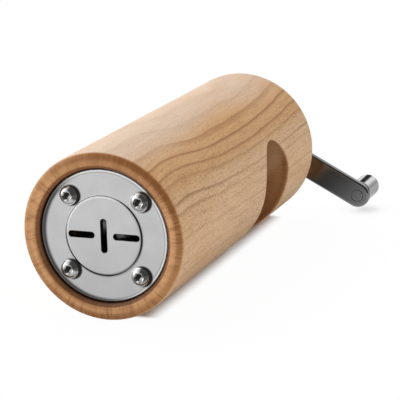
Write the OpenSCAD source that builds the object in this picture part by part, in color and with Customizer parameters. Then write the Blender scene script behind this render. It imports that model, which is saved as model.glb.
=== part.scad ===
// Nutmeg mill with a turned wooden body, a slotted cutter disc in its base and a crank.
// The nut goes in through the side window. A spring presses the pronged plunger on it, and the
// crank turns the plunger, so the nut is shaved on the lips of the cutter disc.
// The mill lies on its side: its axis runs along +Y from the base rim at y = 0, and +Z is up.

/* [Wooden body] */
// Outer diameter of the body
body_d = 50; // [47:0.5:60]
// Length of the body along its axis
body_l = 123; // [116:1:150]
// Rounding of the two outer rims
rim_round = 1.5; // [0.4:0.1:2]
// Diameter of the nut chamber
chamber_d = 24; // [23:0.1:24.4]
// Thickness of the wood over the chamber
top_wall = 6; // [4:0.5:9]

/* [Loading window] */
// Height of the window along the mill's axis
window_w = 22.4; // [18:0.2:26]
// Width of the window across the mill's axis
window_span = 36; // [30:0.5:42]
// Middle of the window above the base rim
window_mid = 85; // [70:1:90]
// Direction that the window faces, turned down from +X
window_turn = 20; // [0:1:60]
// Distance of the window pocket's floor from the mill's axis
window_floor = 4; // [1:0.5:8]

/* [Base plate and cutter] */
// Diameter of the recess in the base
recess_d = 39.8; // [38.5:0.1:42]
// Bevel on the mouth of the recess
recess_bevel = 1.8; // [0.4:0.1:2]
// Depth of the plate's face below the base rim
plate_inset = 1.6; // [1.6:0.1:3]
// Thickness of the base plate
plate_t = 2; // [1.6:0.1:3]
// Rounding of the plate's outer edge
plate_round = 1; // [0.2:0.1:1.4]
// Diameter of the cutter disc's face
disc_d = 23.4; // [22:0.1:24]
// Width of the groove between the disc and the plate
disc_groove = 0.3; // [0.15:0.05:0.4]
// Diameter of the flange that clamps the disc
flange_d = 26.2; // [25.4:0.1:26.8]
// Thickness of that flange
flange_t = 0.9; // [0.6:0.05:1.2]
// Width of the three cutting slots
slot_w = 1.95; // [1.4:0.05:2.4]
// Length of the slot in the middle
mid_slot_l = 10.2; // [8:0.1:11]
// Length of each side slot
side_slot_l = 8.2; // [6:0.1:8.4]
// Distance of a side slot's inner end from the axis
side_slot_start = 2.9; // [2.4:0.05:3.1]
// Height of the cutting lips above the disc's inner face
lip_h = 0.9; // [0.5:0.05:1.4]
// Width of a cutting lip at its foot
lip_foot = 1.4; // [1:0.1:1.8]
// Turn of the slot pattern about the mill's axis
cutter_turn = -1.4; // [-20:0.1:20]

/* [Plate screws] */
// Number of screws in the base plate
screw_count = 4; // [3:1:4]
// Diameter of the screw circle
screw_circle_d = 31.2; // [30.8:0.1:32]
// Thread diameter of the screws
screw_d = 3; // [2.5:0.1:3]
// Length of the screws under the head
screw_l = 8; // [6:0.5:9]
// Diameter of the button heads
head_d = 5.7; // [5:0.1:6]
// Height of the button heads
head_h = 1.45; // [1.1:0.05:1.5]
// Width across the flats of the sockets
socket_w = 2; // [1.5:0.1:2.5]
// Depth of the sockets
socket_depth = 0.9; // [0.5:0.05:1]
// Outer diameter of the threaded inserts
insert_d = 4.2; // [3.8:0.1:4.4]
// Length of the threaded inserts
insert_l = 6; // [4:0.5:8]

/* [Plunger] */
// Diameter of the plunger
plunger_d = 23; // [20:0.1:23.2]
// Thickness of the plunger's plate
plunger_t = 3.5; // [2.5:0.1:5]
// Diameter of the plunger's hub
plunger_hub_d = 9; // [8:0.1:9.6]
// Length of the plunger's hub above its plate
plunger_hub_l = 6; // [4:0.5:7]
// Number of prongs that hold the nut
prong_count = 5; // [3:1:8]
// Diameter of a prong
prong_d = 1.6; // [1:0.1:2]
// Length of a prong below the plunger
prong_l = 3; // [2:0.1:4]
// Diameter of the circle that the prongs stand on
prong_circle_d = 15; // [12:0.5:18]
// Rest height of the prong tips above the cutting lips
prong_rest = 1; // [0.5:0.1:3]

/* [Spring] */
// Mean diameter of the spring
spring_d = 12; // [11.2:0.1:14]
// Diameter of the spring wire
wire_d = 0.8; // [0.6:0.05:1]
// Number of turns
spring_turns = 12; // [8:1:14]
// Outer diameter of the two spring washers
spring_washer_d = 17; // [16:0.1:20]
// Thickness of the two spring washers
spring_washer_t = 0.8; // [0.5:0.05:1.2]

/* [Shaft and crank] */
// Diameter of the drive shaft
shaft_d = 6; // [5.5:0.1:6.4]
// Outer diameter of the bush in the top wall
bush_d = 10; // [9:0.1:12]
// Diameter of the bush's flange
bush_flange_d = 16; // [14:0.5:20]
// Thickness of the bush's flange
bush_flange_t = 1.5; // [1:0.1:3]
// Diameter of the crank's hub
hub_d = 12; // [10.5:0.1:14]
// Diameter of the hub's waist
hub_waist_d = 8; // [7.8:0.1:9]
// Length of the hub
hub_l = 11.1; // [10:0.1:16]
// Length of the straight land at each end of the hub
hub_land = 1.5; // [1:0.1:2]
// Width of the crank arm
arm_w = 8.7; // [8:0.1:11]
// Thickness of the crank arm
arm_t = 2.3; // [1.8:0.1:3.5]
// Distance from the mill's axis to the knob's axis
arm_reach = 41.7; // [36:0.1:50]
// Direction of the arm at rest, turned down from +X
arm_turn = 26.4; // [0:0.1:28]
// Width across the flats that drive the arm
tenon_flats = 3.6; // [3.4:0.1:4]
// Step in radius from the shaft to its tenon
tenon_step = 0.4; // [0.3:0.05:0.6]
// Diameter of the cross pins in the shaft
cross_pin_d = 1.5; // [1:0.1:1.8]
// Outer diameter of the lock washer under the crank screw
lock_washer_d = 7; // [6.4:0.1:8]
// Thickness of the thin washers
thin_washer_t = 0.5; // [0.3:0.05:0.8]

/* [Knob] */
// Diameter of the knob
knob_d = 8; // [7.6:0.1:10]
// Length of the knob
knob_l = 12.6; // [10:0.1:20]
// Rounding of the knob's free end
knob_round = 0.9; // [0.3:0.05:1]
// Diameter of the knob's neck beside the arm
knob_neck_d = 6.4; // [5.6:0.1:7]
// Length of that neck
knob_neck_l = 0.8; // [0.5:0.1:1.5]
// Diameter of the rivet that the knob turns on
rivet_d = 4.2; // [3.6:0.1:4.4]
// Diameter of the rivet's head
rivet_head_d = 5.8; // [5.4:0.1:6]
// Height of the rivet's head
rivet_head_h = 1.3; // [0.8:0.1:2]
// Depth of the rivet's head below the knob's end
rivet_sink = 0.5; // [0.2:0.1:1]

/* [Fits] */
// Radial clearance of pieces that turn or slide on each other
running_gap = 0.05; // [0.02:0.01:0.1]
// Radial clearance of pieces that are pressed or screwed together
seat_gap = 0.02; // [0.01:0.01:0.05]
// Radial clearance of screws and washers that pass freely
free_gap = 0.12; // [0.1:0.01:0.15]
// Clearance between faces that turn against each other
face_gap = 0.1; // [0.05:0.01:0.2]
// Clearance of the plate all round in its recess
plate_gap = 0.5; // [0.2:0.05:0.7]

/* [Hidden] */
$fn = 96;

// Small overlap that keeps cuts clean
cut = 0.2;
// Room past the end of a screw and between a thread and a cross pin
end_room = 1;

// Levels along the mill's axis, from the base rim up
recess_depth = plate_inset + plate_t;
lip_top = recess_depth + lip_h;
prong_tip = lip_top + prong_rest;
plunger_foot = prong_tip + prong_l;
plunger_top = plunger_foot + plunger_t;
plunger_hub_top = plunger_top + plunger_hub_l;
plunger_floor = plunger_t / 3;
shaft_foot = plunger_foot + plunger_floor;
prong_seat = plunger_top - plunger_floor;
plunger_pin_level = plunger_top + plunger_hub_l / 2;
thrust_foot = plunger_top + face_gap;
thrust_top = thrust_foot + spring_washer_t;
ceiling = body_l - top_wall;
seat_foot = ceiling - spring_washer_t;
bush_top = body_l + bush_flange_t;
hub_foot = bush_top + thin_washer_t + face_gap;
hub_pin_level = hub_foot + hub_l / 2;
arm_foot = hub_foot + hub_l;
arm_top = arm_foot + arm_t;
lock_washer_top = arm_top + thin_washer_t;
knob_foot = arm_top + thin_washer_t + face_gap;
knob_top = knob_foot + knob_l;

// Radii shared by pieces that fit together
body_r = body_d / 2;
recess_r = recess_d / 2;
plate_r = recess_r - plate_gap;
insert_hole_r = insert_d / 2 + seat_gap;
thread_hole_r = screw_d / 2 + seat_gap;
thrust_bore_r = plunger_hub_d / 2 + running_gap;
tenon_r = shaft_d / 2 - tenon_step;
crank_thread_depth = (hub_l - cross_pin_d) / 2 - end_room;
rivet_seat = knob_top - rivet_head_h - rivet_sink;

// The bevel of the recess leaves at least as much flat rim as it takes
mouth_bevel = min(recess_bevel, (body_r - rim_round - recess_r) / 2);

// Stands a piece that is drawn along Z on the mill's axis, along +Y
module along_axis() {
    rotate([-90, 0, 0]) children();
}

// Solid of revolution about the mill's axis
module turned() {
    along_axis() rotate_extrude() children();
}

// Square-cornered profile of a ring between two radii and two levels
module ring_profile(inner_r, outer_r, foot, top) {
    translate([inner_r, foot]) square([outer_r - inner_r, top - foot]);
}

// Cutter for a profile's outer corner at (r, level); side is 1 for an upper corner
module corner_round(r, level, radius, side) {
    translate([r - radius, level - side * radius]) difference() {
        translate([0, side > 0 ? 0 : -radius - cut]) square([radius + cut, radius + cut]);
        circle(radius);
    }
}

// Cutter that bevels a profile's corner at (r, level) by the same amount both ways
module corner_bevel(r, level, size) {
    translate([r, level]) rotate(45) square(size * sqrt(2), center = true);
}

// Slot outline with round ends, along X from start
module slot_outline(start, length, width) {
    translate([start + width / 2, -width / 2]) square([length - width, width]);
    for (x = [start + width / 2, start + length - width / 2])
        translate([x, 0]) circle(d = width);
}

// Repeats a piece on the screw circle
module at_screws() {
    for (i = [0 : screw_count - 1])
        rotate(45 + i * 360 / screw_count) translate([screw_circle_d / 2, 0, 0]) children();
}

// Profile of a button head that stands on level 0
module button_head_profile(diameter, height) {
    dome_r = (pow(diameter / 2, 2) + pow(height, 2)) / (2 * height);
    intersection() {
        square([diameter / 2, height]);
        translate([0, height - dome_r]) circle(dome_r);
    }
}

// Button-head screw whose head stands on level 0 and whose shank hangs below it
module button_screw(length) {
    difference() {
        union() {
            rotate_extrude() button_head_profile(head_d, head_h);
            translate([0, 0, -length]) cylinder(r = screw_d / 2, h = length + cut);
        }
        translate([0, 0, head_h - socket_depth])
            cylinder(d = socket_w / cos(30), h = socket_depth + cut, $fn = 6);
    }
}

// Obround pocket from the side into the nut chamber
module window_pocket() {
    rotate(window_turn) translate([window_floor, 0, window_mid]) rotate([0, 90, 0])
        linear_extrude(body_d) rotate(90)
            slot_outline(-window_span / 2, window_span, window_w);
}

module body() {
    color("burlywood") along_axis() difference() {
        rotate_extrude() difference() {
            ring_profile(bush_d / 2 + seat_gap, body_r, 0, body_l);
            ring_profile(0, recess_r, -cut, recess_depth);
            ring_profile(0, chamber_d / 2, 0, ceiling);
            corner_bevel(recess_r, 0, mouth_bevel);
            corner_round(body_r, 0, rim_round, -1);
            corner_round(body_r, body_l, rim_round, 1);
        }
        window_pocket();
        at_screws() translate([0, 0, recess_depth - cut])
            cylinder(r = insert_hole_r, h = insert_l + cut + end_room);
    }
}

module base_plate() {
    color("lightgray") along_axis() difference() {
        rotate_extrude() difference() {
            ring_profile(disc_d / 2 + disc_groove, plate_r, plate_inset, recess_depth);
            ring_profile(0, flange_d / 2 + free_gap, recess_depth - flange_t, recess_depth + cut);
            corner_round(plate_r, plate_inset, plate_round, -1);
        }
        at_screws() translate([0, 0, plate_inset - cut])
            cylinder(r = screw_d / 2 + free_gap, h = plate_t + 2 * cut);
    }
}

// Sharp lip along one edge of a slot, from start outwards
module cutting_lip(start, length) {
    translate([start, 0, recess_depth]) rotate([90, 0, 90]) linear_extrude(length)
        polygon([
            [slot_w / 2, -cut],
            [slot_w / 2 - lip_h / 3, lip_h],
            [slot_w / 2 + lip_foot, -cut]
        ]);
}

module cutter_disc() {
    end_land = slot_w / 2;
    color("gainsboro") along_axis() rotate(cutter_turn) {
        difference() {
            rotate_extrude() difference() {
                union() {
                    ring_profile(0, disc_d / 2, plate_inset, recess_depth);
                    ring_profile(0, flange_d / 2, recess_depth - flange_t, recess_depth);
                }
                corner_bevel(disc_d / 2, plate_inset, disc_groove);
            }
            translate([0, 0, plate_inset - cut]) linear_extrude(plate_t + 2 * cut) {
                rotate(90) slot_outline(-mid_slot_l / 2, mid_slot_l, slot_w);
                for (a = [0, 180])
                    rotate(a) slot_outline(side_slot_start, side_slot_l, slot_w);
            }
        }
        for (a = [0, 180]) {
            rotate(a) cutting_lip(side_slot_start + end_land, side_slot_l - 2 * end_land);
            rotate(a + 90) cutting_lip(slot_w / 4, mid_slot_l / 2 - end_land - slot_w / 4);
        }
    }
}

module plate_screws() {
    color("silver") along_axis() at_screws()
        translate([0, 0, plate_inset]) mirror([0, 0, 1]) button_screw(screw_l);
}

module threaded_inserts() {
    color("goldenrod") along_axis() at_screws() translate([0, 0, recess_depth]) difference() {
        cylinder(d = insert_d, h = insert_l);
        translate([0, 0, -cut]) cylinder(r = thread_hole_r, h = insert_l + 2 * cut);
    }
}

module top_bush() {
    color("silver") turned() difference() {
        union() {
            ring_profile(shaft_d / 2 + running_gap, bush_d / 2, ceiling, bush_top);
            ring_profile(bush_d / 2 - cut, bush_flange_d / 2, body_l, bush_top);
        }
        corner_bevel(bush_flange_d / 2, bush_top, bush_flange_t / 3);
    }
}

module spring_seat() {
    color("silver") turned()
        ring_profile(thrust_bore_r, spring_washer_d / 2, seat_foot, ceiling);
}

// Centre line of the spring: a straight foot on each washer, a short bend, and the turns between
spring_r = spring_d / 2;
bend_r = 1.5 * wire_d;
spring_foot = thrust_top + seat_gap;
spring_top = seat_foot - seat_gap;
turn_steps = 8;
bend_steps = 4;
rough_rise = spring_top - spring_foot - 2 * (bend_r + wire_d);
slope = atan(rough_rise / (spring_turns * 2 * PI * spring_r));
bend_height = bend_r * cos(slope) + wire_d;
rise = spring_top - spring_foot - 2 * bend_height;
turn_total = spring_turns * turn_steps;

// A centre line station is [place, angle of its outward direction, climb angle, step of its turn]
function helix_station(i) =
    let (
        a = 360 * i / turn_steps,
        level = spring_foot + bend_height + rise * i / turn_total
    )
    [[spring_r * cos(a), spring_r * sin(a), level], a, slope, i];

// Station on the bend that joins an end of the turns; side is -1 at the foot and 1 at the top
function bend_station(end, side, climb) =
    let (
        along = side * bend_r * (sin(climb) - sin(slope)),
        up = side * bend_r * (cos(slope) - cos(climb))
    )
    [end[0] + [-along * sin(end[1]), along * cos(end[1]), up], end[1], climb, end[3]];

first_turn = helix_station(0);
last_turn = helix_station(turn_total);
foot_bend = bend_station(first_turn, -1, 90);
top_bend = bend_station(last_turn, 1, 90);
bend_climbs = [for (k = [1 : bend_steps]) slope + (90 - slope) * k / bend_steps];
spring_line = concat(
    [[foot_bend[0] - [0, 0, wire_d], foot_bend[1], 90, 0]],
    [for (k = [bend_steps - 1 : -1 : 0]) bend_station(first_turn, -1, bend_climbs[k])],
    [for (i = [0 : turn_total]) helix_station(i)],
    [for (k = [0 : bend_steps - 1]) bend_station(last_turn, 1, bend_climbs[k])],
    [[top_bend[0] + [0, 0, wire_d], top_bend[1], 90, turn_total]]
);

// Six-sided ring of the wire round one station
wire_sides = 6;
function wire_ring(station) =
    let (
        out = [cos(station[1]), sin(station[1]), 0],
        across = [
            sin(station[2]) * sin(station[1]),
            -sin(station[2]) * cos(station[1]),
            cos(station[2])
        ]
    )
    [for (s = [0 : wire_sides - 1])
        station[0] + wire_d / 2 * (cos(360 * s / wire_sides) * out + sin(360 * s / wire_sides) * across)];

module spring() {
    rings = len(spring_line);
    points = [for (station = spring_line) each wire_ring(station)];
    sides = [for (i = [0 : rings - 2]) for (s = [0 : wire_sides - 1])
        let (
            a = i * wire_sides + s,
            b = i * wire_sides + (s + 1) % wire_sides,
            c = b + wire_sides,
            d = a + wire_sides
        )
        each [[a, b, c], [a, c, d]]];
    last = (rings - 1) * wire_sides;
    caps = [for (s = [1 : wire_sides - 2]) each [[0, s + 1, s], [last, last + s, last + s + 1]]];
    // Least gap of the wire to itself, measured between stations at least half a turn apart
    gap = min([for (p = spring_line) for (q = spring_line) if (q[3] - p[3] >= turn_steps / 2)
        norm(q[0] - p[0])]) - wire_d;
    echo(spring_least_gap = gap);
    color("silver") along_axis() polyhedron(points, concat(sides, caps), convexity = 10);
}

module thrust_washer() {
    color("silver") turned()
        ring_profile(thrust_bore_r, spring_washer_d / 2, thrust_foot, thrust_top);
}

// Repeats a piece on the prong circle
module at_prongs() {
    for (i = [0 : prong_count - 1])
        rotate(i * 360 / prong_count) translate([prong_circle_d / 2, 0, 0]) children();
}

// Cross pin through the shaft at a level
module cross_pin(level, length, gap) {
    translate([0, 0, level]) rotate([90, 0, 0])
        cylinder(r = cross_pin_d / 2 + gap, h = length, center = true);
}

module plunger() {
    edge = plunger_t / 8;
    color("lightsteelblue") along_axis() difference() {
        rotate_extrude() difference() {
            union() {
                ring_profile(0, plunger_d / 2, plunger_foot, plunger_top);
                ring_profile(0, plunger_hub_d / 2, plunger_foot, plunger_hub_top);
            }
            ring_profile(0, shaft_d / 2 + seat_gap, shaft_foot, plunger_hub_top + cut);
            corner_bevel(plunger_d / 2, plunger_foot, edge);
            corner_bevel(plunger_d / 2, plunger_top, edge);
        }
        cross_pin(plunger_pin_level, plunger_hub_d + cut, seat_gap);
        at_prongs() translate([0, 0, plunger_foot - cut])
            cylinder(r = prong_d / 2 + seat_gap, h = prong_seat - plunger_foot + cut);
    }
}

module nut_prongs() {
    point = prong_l / 2;
    color("silver") along_axis() at_prongs() rotate_extrude() polygon([
        [0, prong_tip],
        [prong_d / 2, prong_tip + point],
        [prong_d / 2, prong_seat],
        [0, prong_seat]
    ]);
}

module plunger_pin() {
    color("gray") along_axis() cross_pin(plunger_pin_level, plunger_hub_d - 4 * seat_gap - cut, 0);
}

module drive_shaft() {
    tenon_top = arm_top - cut;
    color("silver") along_axis() difference() {
        union() {
            translate([0, 0, shaft_foot]) cylinder(d = shaft_d, h = arm_foot - shaft_foot);
            intersection() {
                translate([0, 0, arm_foot - cut]) cylinder(r = tenon_r, h = tenon_top - arm_foot + cut);
                rotate(arm_turn) translate([-shaft_d / 2, -tenon_flats / 2, arm_foot - cut])
                    cube([shaft_d, tenon_flats, arm_t + cut]);
            }
        }
        cross_pin(plunger_pin_level, shaft_d + cut, seat_gap);
        cross_pin(hub_pin_level, shaft_d + cut, seat_gap);
        translate([0, 0, arm_top - crank_thread_depth - arm_t])
            cylinder(r = thread_hole_r, h = crank_thread_depth + arm_t + cut);
    }
}

module hub_washer() {
    color("whitesmoke") turned()
        ring_profile(shaft_d / 2 + free_gap, hub_d / 2, bush_top, bush_top + thin_washer_t);
}

module crank_hub() {
    waist_depth = (hub_d - hub_waist_d) / 2;
    waist_half = hub_l / 2 - hub_land;
    waist_r = (pow(waist_half, 2) + pow(waist_depth, 2)) / (2 * waist_depth);
    color("silver") along_axis() difference() {
        rotate_extrude() difference() {
            ring_profile(shaft_d / 2 + seat_gap, hub_d / 2, hub_foot, arm_foot);
            translate([hub_waist_d / 2 + waist_r, hub_pin_level]) circle(waist_r);
        }
        cross_pin(hub_pin_level, hub_d, seat_gap);
    }
}

module hub_pin() {
    color("gray") along_axis() cross_pin(hub_pin_level, hub_waist_d - cut, 0);
}

module crank_arm() {
    color("silver") along_axis() rotate(arm_turn) translate([0, 0, arm_foot])
        linear_extrude(arm_t) difference() {
            slot_outline(-arm_w / 2, arm_reach + arm_w, arm_w);
            intersection() {
                circle(tenon_r + running_gap);
                square([shaft_d, tenon_flats + 2 * running_gap], center = true);
            }
            translate([arm_reach, 0]) circle(rivet_d / 2 + seat_gap);
        }
}

module lock_washer() {
    color("gray") turned()
        ring_profile(screw_d / 2 + free_gap, lock_washer_d / 2, arm_top, lock_washer_top);
}

module crank_screw() {
    color("silver") along_axis() translate([0, 0, lock_washer_top])
        button_screw(crank_thread_depth + arm_t + thin_washer_t - end_room);
}

// Stands a piece that is drawn on the mill's axis on the knob's axis
module at_knob() {
    along_axis() rotate(arm_turn) translate([arm_reach, 0, 0]) children();
}

module knob_washer() {
    color("gray") at_knob() rotate_extrude()
        ring_profile(rivet_d / 2 + free_gap, knob_neck_d / 2, arm_top, arm_top + thin_washer_t);
}

module knob() {
    neck_top = knob_foot + knob_neck_l;
    color("silver") at_knob() rotate_extrude() difference() {
        union() {
            ring_profile(rivet_d / 2 + running_gap, knob_d / 2, neck_top, knob_top);
            ring_profile(rivet_d / 2 + running_gap, knob_neck_d / 2, knob_foot, neck_top + cut);
        }
        ring_profile(0, rivet_head_d / 2 + free_gap, rivet_seat - face_gap, knob_top + cut);
        corner_round(knob_d / 2, knob_top, knob_round, 1);
    }
}

module knob_rivet() {
    color("silver") at_knob() rotate_extrude() {
        ring_profile(0, rivet_d / 2, arm_foot, rivet_seat + cut);
        ring_profile(0, rivet_head_d / 2, rivet_seat, rivet_seat + rivet_head_h);
    }
}

body();
base_plate();
cutter_disc();
plate_screws();
threaded_inserts();
top_bush();
spring_seat();
spring();
thrust_washer();
plunger();
nut_prongs();
plunger_pin();
drive_shaft();
hub_washer();
crank_hub();
hub_pin();
crank_arm();
lock_washer();
crank_screw();
knob_washer();
knob();
knob_rivet();
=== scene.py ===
"""Looks of a nutmeg mill that lies on its side: turned wood, satin and polished steel.

All sizes are in millimetres in the row frame: the mill's axis runs along +Y from the base rim, +X is
the side of the loading window and the crank, and +Z is up. Meshes are stored in metres.
"""

import logging
import math
from dataclasses import dataclass, field
from enum import Enum
from functools import cached_property
from typing import Any, Mapping, NamedTuple, Sequence, Union

import bmesh
import bpy
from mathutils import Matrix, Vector
from mathutils.geometry import tessellate_polygon


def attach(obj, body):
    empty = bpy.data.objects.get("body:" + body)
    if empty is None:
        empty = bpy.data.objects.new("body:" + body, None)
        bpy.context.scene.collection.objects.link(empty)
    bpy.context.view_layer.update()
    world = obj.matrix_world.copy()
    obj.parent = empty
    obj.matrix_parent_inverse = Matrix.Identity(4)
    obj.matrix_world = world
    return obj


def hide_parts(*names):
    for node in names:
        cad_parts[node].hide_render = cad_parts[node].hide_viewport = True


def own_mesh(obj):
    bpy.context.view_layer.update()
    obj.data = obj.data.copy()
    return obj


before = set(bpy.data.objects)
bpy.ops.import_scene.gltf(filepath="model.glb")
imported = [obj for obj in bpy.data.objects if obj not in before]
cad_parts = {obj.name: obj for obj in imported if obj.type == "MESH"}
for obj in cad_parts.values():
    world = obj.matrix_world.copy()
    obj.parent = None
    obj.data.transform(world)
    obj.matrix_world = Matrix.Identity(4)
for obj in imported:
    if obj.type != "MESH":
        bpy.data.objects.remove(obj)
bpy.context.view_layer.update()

LOG = logging.getLogger("nutmeg_mill")

Socket = bpy.types.NodeSocket
Material = bpy.types.Material
Piece = bpy.types.Object
Color = tuple[float, float, float, float]
Triple = tuple[float, float, float]
Point2 = tuple[float, float]
Edge = tuple[Point2, Point2]
Term = Union["Value", float]

# One millimetre, and the distance at which points are joined, in metres
MM = 0.001
MERGE = 1e-8

# Lengths that count as nothing, or are kept above nothing
TINY = 1e-6
LEAST_RADIUS = 0.5

# Angles in degrees above which an edge stays sharp
SHARP = 35.0
HEAD_SHARP = 30.0

# Most width of the plain strip beside a rounding, and its share of the rounding
LEAD = 0.1
LEAD_SHARE = 0.25

# Sizes that several sub-assemblies and finishes share
BODY_LENGTH = 123.0
CEILING = 117.0
PLATE_FACE = 1.6
PLATE_BACK = 3.6
OPENING_R = 11.94
DISC_R = 11.68
SHAFT_R = 3.0
ARM_REACH = 41.7
ARM_TURN = -26.4
KNOB_AXIS = (ARM_REACH * math.cos(math.radians(ARM_TURN)), ARM_REACH * math.sin(math.radians(ARM_TURN)))
SCREW_COUNT = 4
SCREW_CIRCLE_R = 15.6
SCREW_PITCH = SCREW_CIRCLE_R * math.sqrt(0.5)
SCREW_HEAD_R = 2.85
SOCKET_HALF = 1.0

# Directions from the mill's axis on the base, to the right and up
UPPER = (0.15, 0.98)
UPPER_LEFT = (-0.50, 0.87)
LEFT = (-0.87, -0.50)
LOWER_LEFT = (-0.60, -0.80)
LOWER_RIGHT = (0.90, -0.44)


class Rides(Enum):
    """Bodies of the mill that a piece can move with."""

    BODY = "body"
    CARRIAGE = "carriage"
    ROTOR = "rotor"
    KNOB = "knob"


class Grain(Enum):
    """Direction of the fine marks that a metal finish carries."""

    BRUSHED = "straight strokes across the mill's axis"
    TURNED = "rings round a turning axis"
    POLISHED = "almost none"


class Value:
    """A number that varies over a surface, carried by an output socket."""

    def __init__(self, graph: "Graph", socket: Socket) -> None:
        """Keep the graph that new nodes go in and the socket that is wrapped."""
        self.graph = graph
        self.socket = socket

    def __add__(self, other: Term) -> "Value":
        """Sum with a number or another value."""
        return self.graph.math("ADD", self, other)

    __radd__ = __add__

    def __sub__(self, other: Term) -> "Value":
        """Difference with a number or another value."""
        return self.graph.math("SUBTRACT", self, other)

    def __rsub__(self, other: float) -> "Value":
        """Difference with the number first."""
        return self.graph.math("SUBTRACT", other, self)

    def __mul__(self, other: Term) -> "Value":
        """Product with a number or another value."""
        return self.graph.math("MULTIPLY", self, other)

    __rmul__ = __mul__

    def __truediv__(self, other: Term) -> "Value":
        """Quotient with a number or another value."""
        return self.graph.math("DIVIDE", self, other)

    def __rtruediv__(self, other: float) -> "Value":
        """Quotient with the number first."""
        return self.graph.math("DIVIDE", other, self)

    def __abs__(self) -> "Value":
        """Size without the sign."""
        return self.graph.math("ABSOLUTE", self)

    def fraction(self) -> "Value":
        """Part after the decimal point."""
        return self.graph.math("FRACT", self)

    def whole(self) -> "Value":
        """Part before the decimal point."""
        return self.graph.math("FLOOR", self)

    def sign(self) -> "Value":
        """1 above nothing and -1 below."""
        return self.graph.math("SIGN", self)

    def root(self) -> "Value":
        """Square root."""
        return self.graph.math("SQRT", self)

    def at_most(self, other: Term) -> "Value":
        """Smaller of this and another value."""
        return self.graph.math("MINIMUM", self, other)

    def at_least(self, other: Term) -> "Value":
        """Larger of this and another value."""
        return self.graph.math("MAXIMUM", self, other)

    def ease(self, low: float, high: float) -> "Value":
        """Smooth step from 0 at low to 1 at high.

        Args:
            low: Value at which the step starts.
            high: Value at which the step ends.

        Returns:
            The eased share.
        """
        made = self.graph.node(
            "ShaderNodeMapRange",
            {"interpolation_type": "SMOOTHSTEP"},
            {"Value": self, "From Min": low, "From Max": high},
        )
        return Value(self.graph, made.outputs[0])


class Graph:
    """Node tree of one material or of the world, with short ways to add nodes."""

    def __init__(self, tree: bpy.types.NodeTree) -> None:
        """Take an emptied node tree."""
        self.tree = tree

    @classmethod
    def of_material(cls, name: str) -> tuple["Graph", Material]:
        """Start a material with an empty tree.

        Args:
            name: Name of the material.

        Returns:
            The graph and its material.
        """
        material = bpy.data.materials.new(name)
        material.use_nodes = True
        material.node_tree.nodes.clear()
        return cls(material.node_tree), material

    def node(
        self,
        kind: str,
        settings: Mapping[str, Any] | None = None,
        sockets: Mapping[str | int, Any] | None = None,
    ) -> bpy.types.Node:
        """Add a node.

        Args:
            kind: Type name of the node.
            settings: Properties of the node, set before its sockets.
            sockets: Values or links of its inputs, by name or place.

        Returns:
            The new node.
        """
        made = self.tree.nodes.new(kind)
        for name, setting in (settings or {}).items():
            setattr(made, name, setting)
        for key, given in (sockets or {}).items():
            source = given.socket if isinstance(given, Value) else given
            if isinstance(source, Socket):
                self.tree.links.new(source, made.inputs[key])
            else:
                made.inputs[key].default_value = source
        return made

    def math(self, operation: str, *terms: Term) -> Value:
        """Add a Math node.

        Args:
            operation: Name of the operation.
            terms: Values or numbers that it works on.

        Returns:
            The result.
        """
        made = self.node("ShaderNodeMath", {"operation": operation}, dict(enumerate(terms)))
        return Value(self, made.outputs[0])

    def place(self) -> Socket:
        """Read the place on the piece.

        Returns:
            The place in millimetres, as a vector.
        """
        metres = self.node("ShaderNodeTexCoord").outputs["Object"]
        scaled = self.node("ShaderNodeVectorMath", {"operation": "SCALE"}, {0: metres, "Scale": 1 / MM})
        return scaled.outputs[0]

    def stretch(self, vector: Socket, factors: Triple) -> Socket:
        """Multiply a vector part by part.

        Args:
            vector: Vector to stretch.
            factors: One factor for each axis.

        Returns:
            The stretched vector.
        """
        made = self.node("ShaderNodeVectorMath", {"operation": "MULTIPLY"}, {0: vector, 1: factors})
        return made.outputs[0]

    def parts(self, vector: Socket) -> tuple[Value, Value, Value]:
        """Split a vector into its three values."""
        outputs = self.node("ShaderNodeSeparateXYZ", None, {0: vector}).outputs
        return Value(self, outputs[0]), Value(self, outputs[1]), Value(self, outputs[2])

    def join(self, x: Term, y: Term, z: Term) -> Socket:
        """Put three values together as a vector."""
        return self.node("ShaderNodeCombineXYZ", None, {0: x, 1: y, 2: z}).outputs[0]

    def noise(self, vector: Socket, detail: float = 2.0, roughness: float = 0.5) -> Value:
        """Soft noise from 0 to 1.

        Args:
            vector: Place, scaled so that a blotch is about one unit.
            detail: Number of finer layers.
            roughness: Weight of the finer layers.

        Returns:
            The noise.
        """
        made = self.node(
            "ShaderNodeTexNoise",
            {"noise_dimensions": "3D"},
            {"Vector": vector, "Scale": 1.0, "Detail": detail, "Roughness": roughness},
        )
        return Value(self, made.outputs[0])

    def chance(self, number: Value) -> Value:
        """A random value from 0 to 1 that stays the same for the same number."""
        made = self.node("ShaderNodeTexWhiteNoise", {"noise_dimensions": "1D"}, {"W": number})
        return Value(self, made.outputs["Value"])

    def mix(self, factor: Term, low: "Socket | Color", high: "Socket | Color") -> Socket:
        """Mix two colours.

        Args:
            factor: Share of the second colour.
            low: First colour.
            high: Second colour.

        Returns:
            The mixed colour.
        """
        made = self.node(
            "ShaderNodeMix",
            {"data_type": "RGBA", "blend_type": "MIX", "clamp_factor": True},
            {0: factor, 6: low, 7: high},
        )
        return made.outputs[2]

    def bump(self, height: Value, depth: float, strength: float) -> Socket:
        """Fine relief.

        Args:
            height: Height from 0 to 1.
            depth: Real depth of the relief in millimetres.
            strength: Share of the relief that shows.

        Returns:
            The bumped normal.
        """
        made = self.node(
            "ShaderNodeBump", None, {"Strength": strength, "Distance": depth * MM, "Height": height}
        )
        return made.outputs[0]

    def surface(self, sockets: Mapping[str, Any]) -> None:
        """Close the graph with a Principled shader that takes these sockets."""
        shader = self.node("ShaderNodeBsdfPrincipled", None, sockets)
        self.node("ShaderNodeOutputMaterial", None, {"Surface": shader.outputs[0]})


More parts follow.
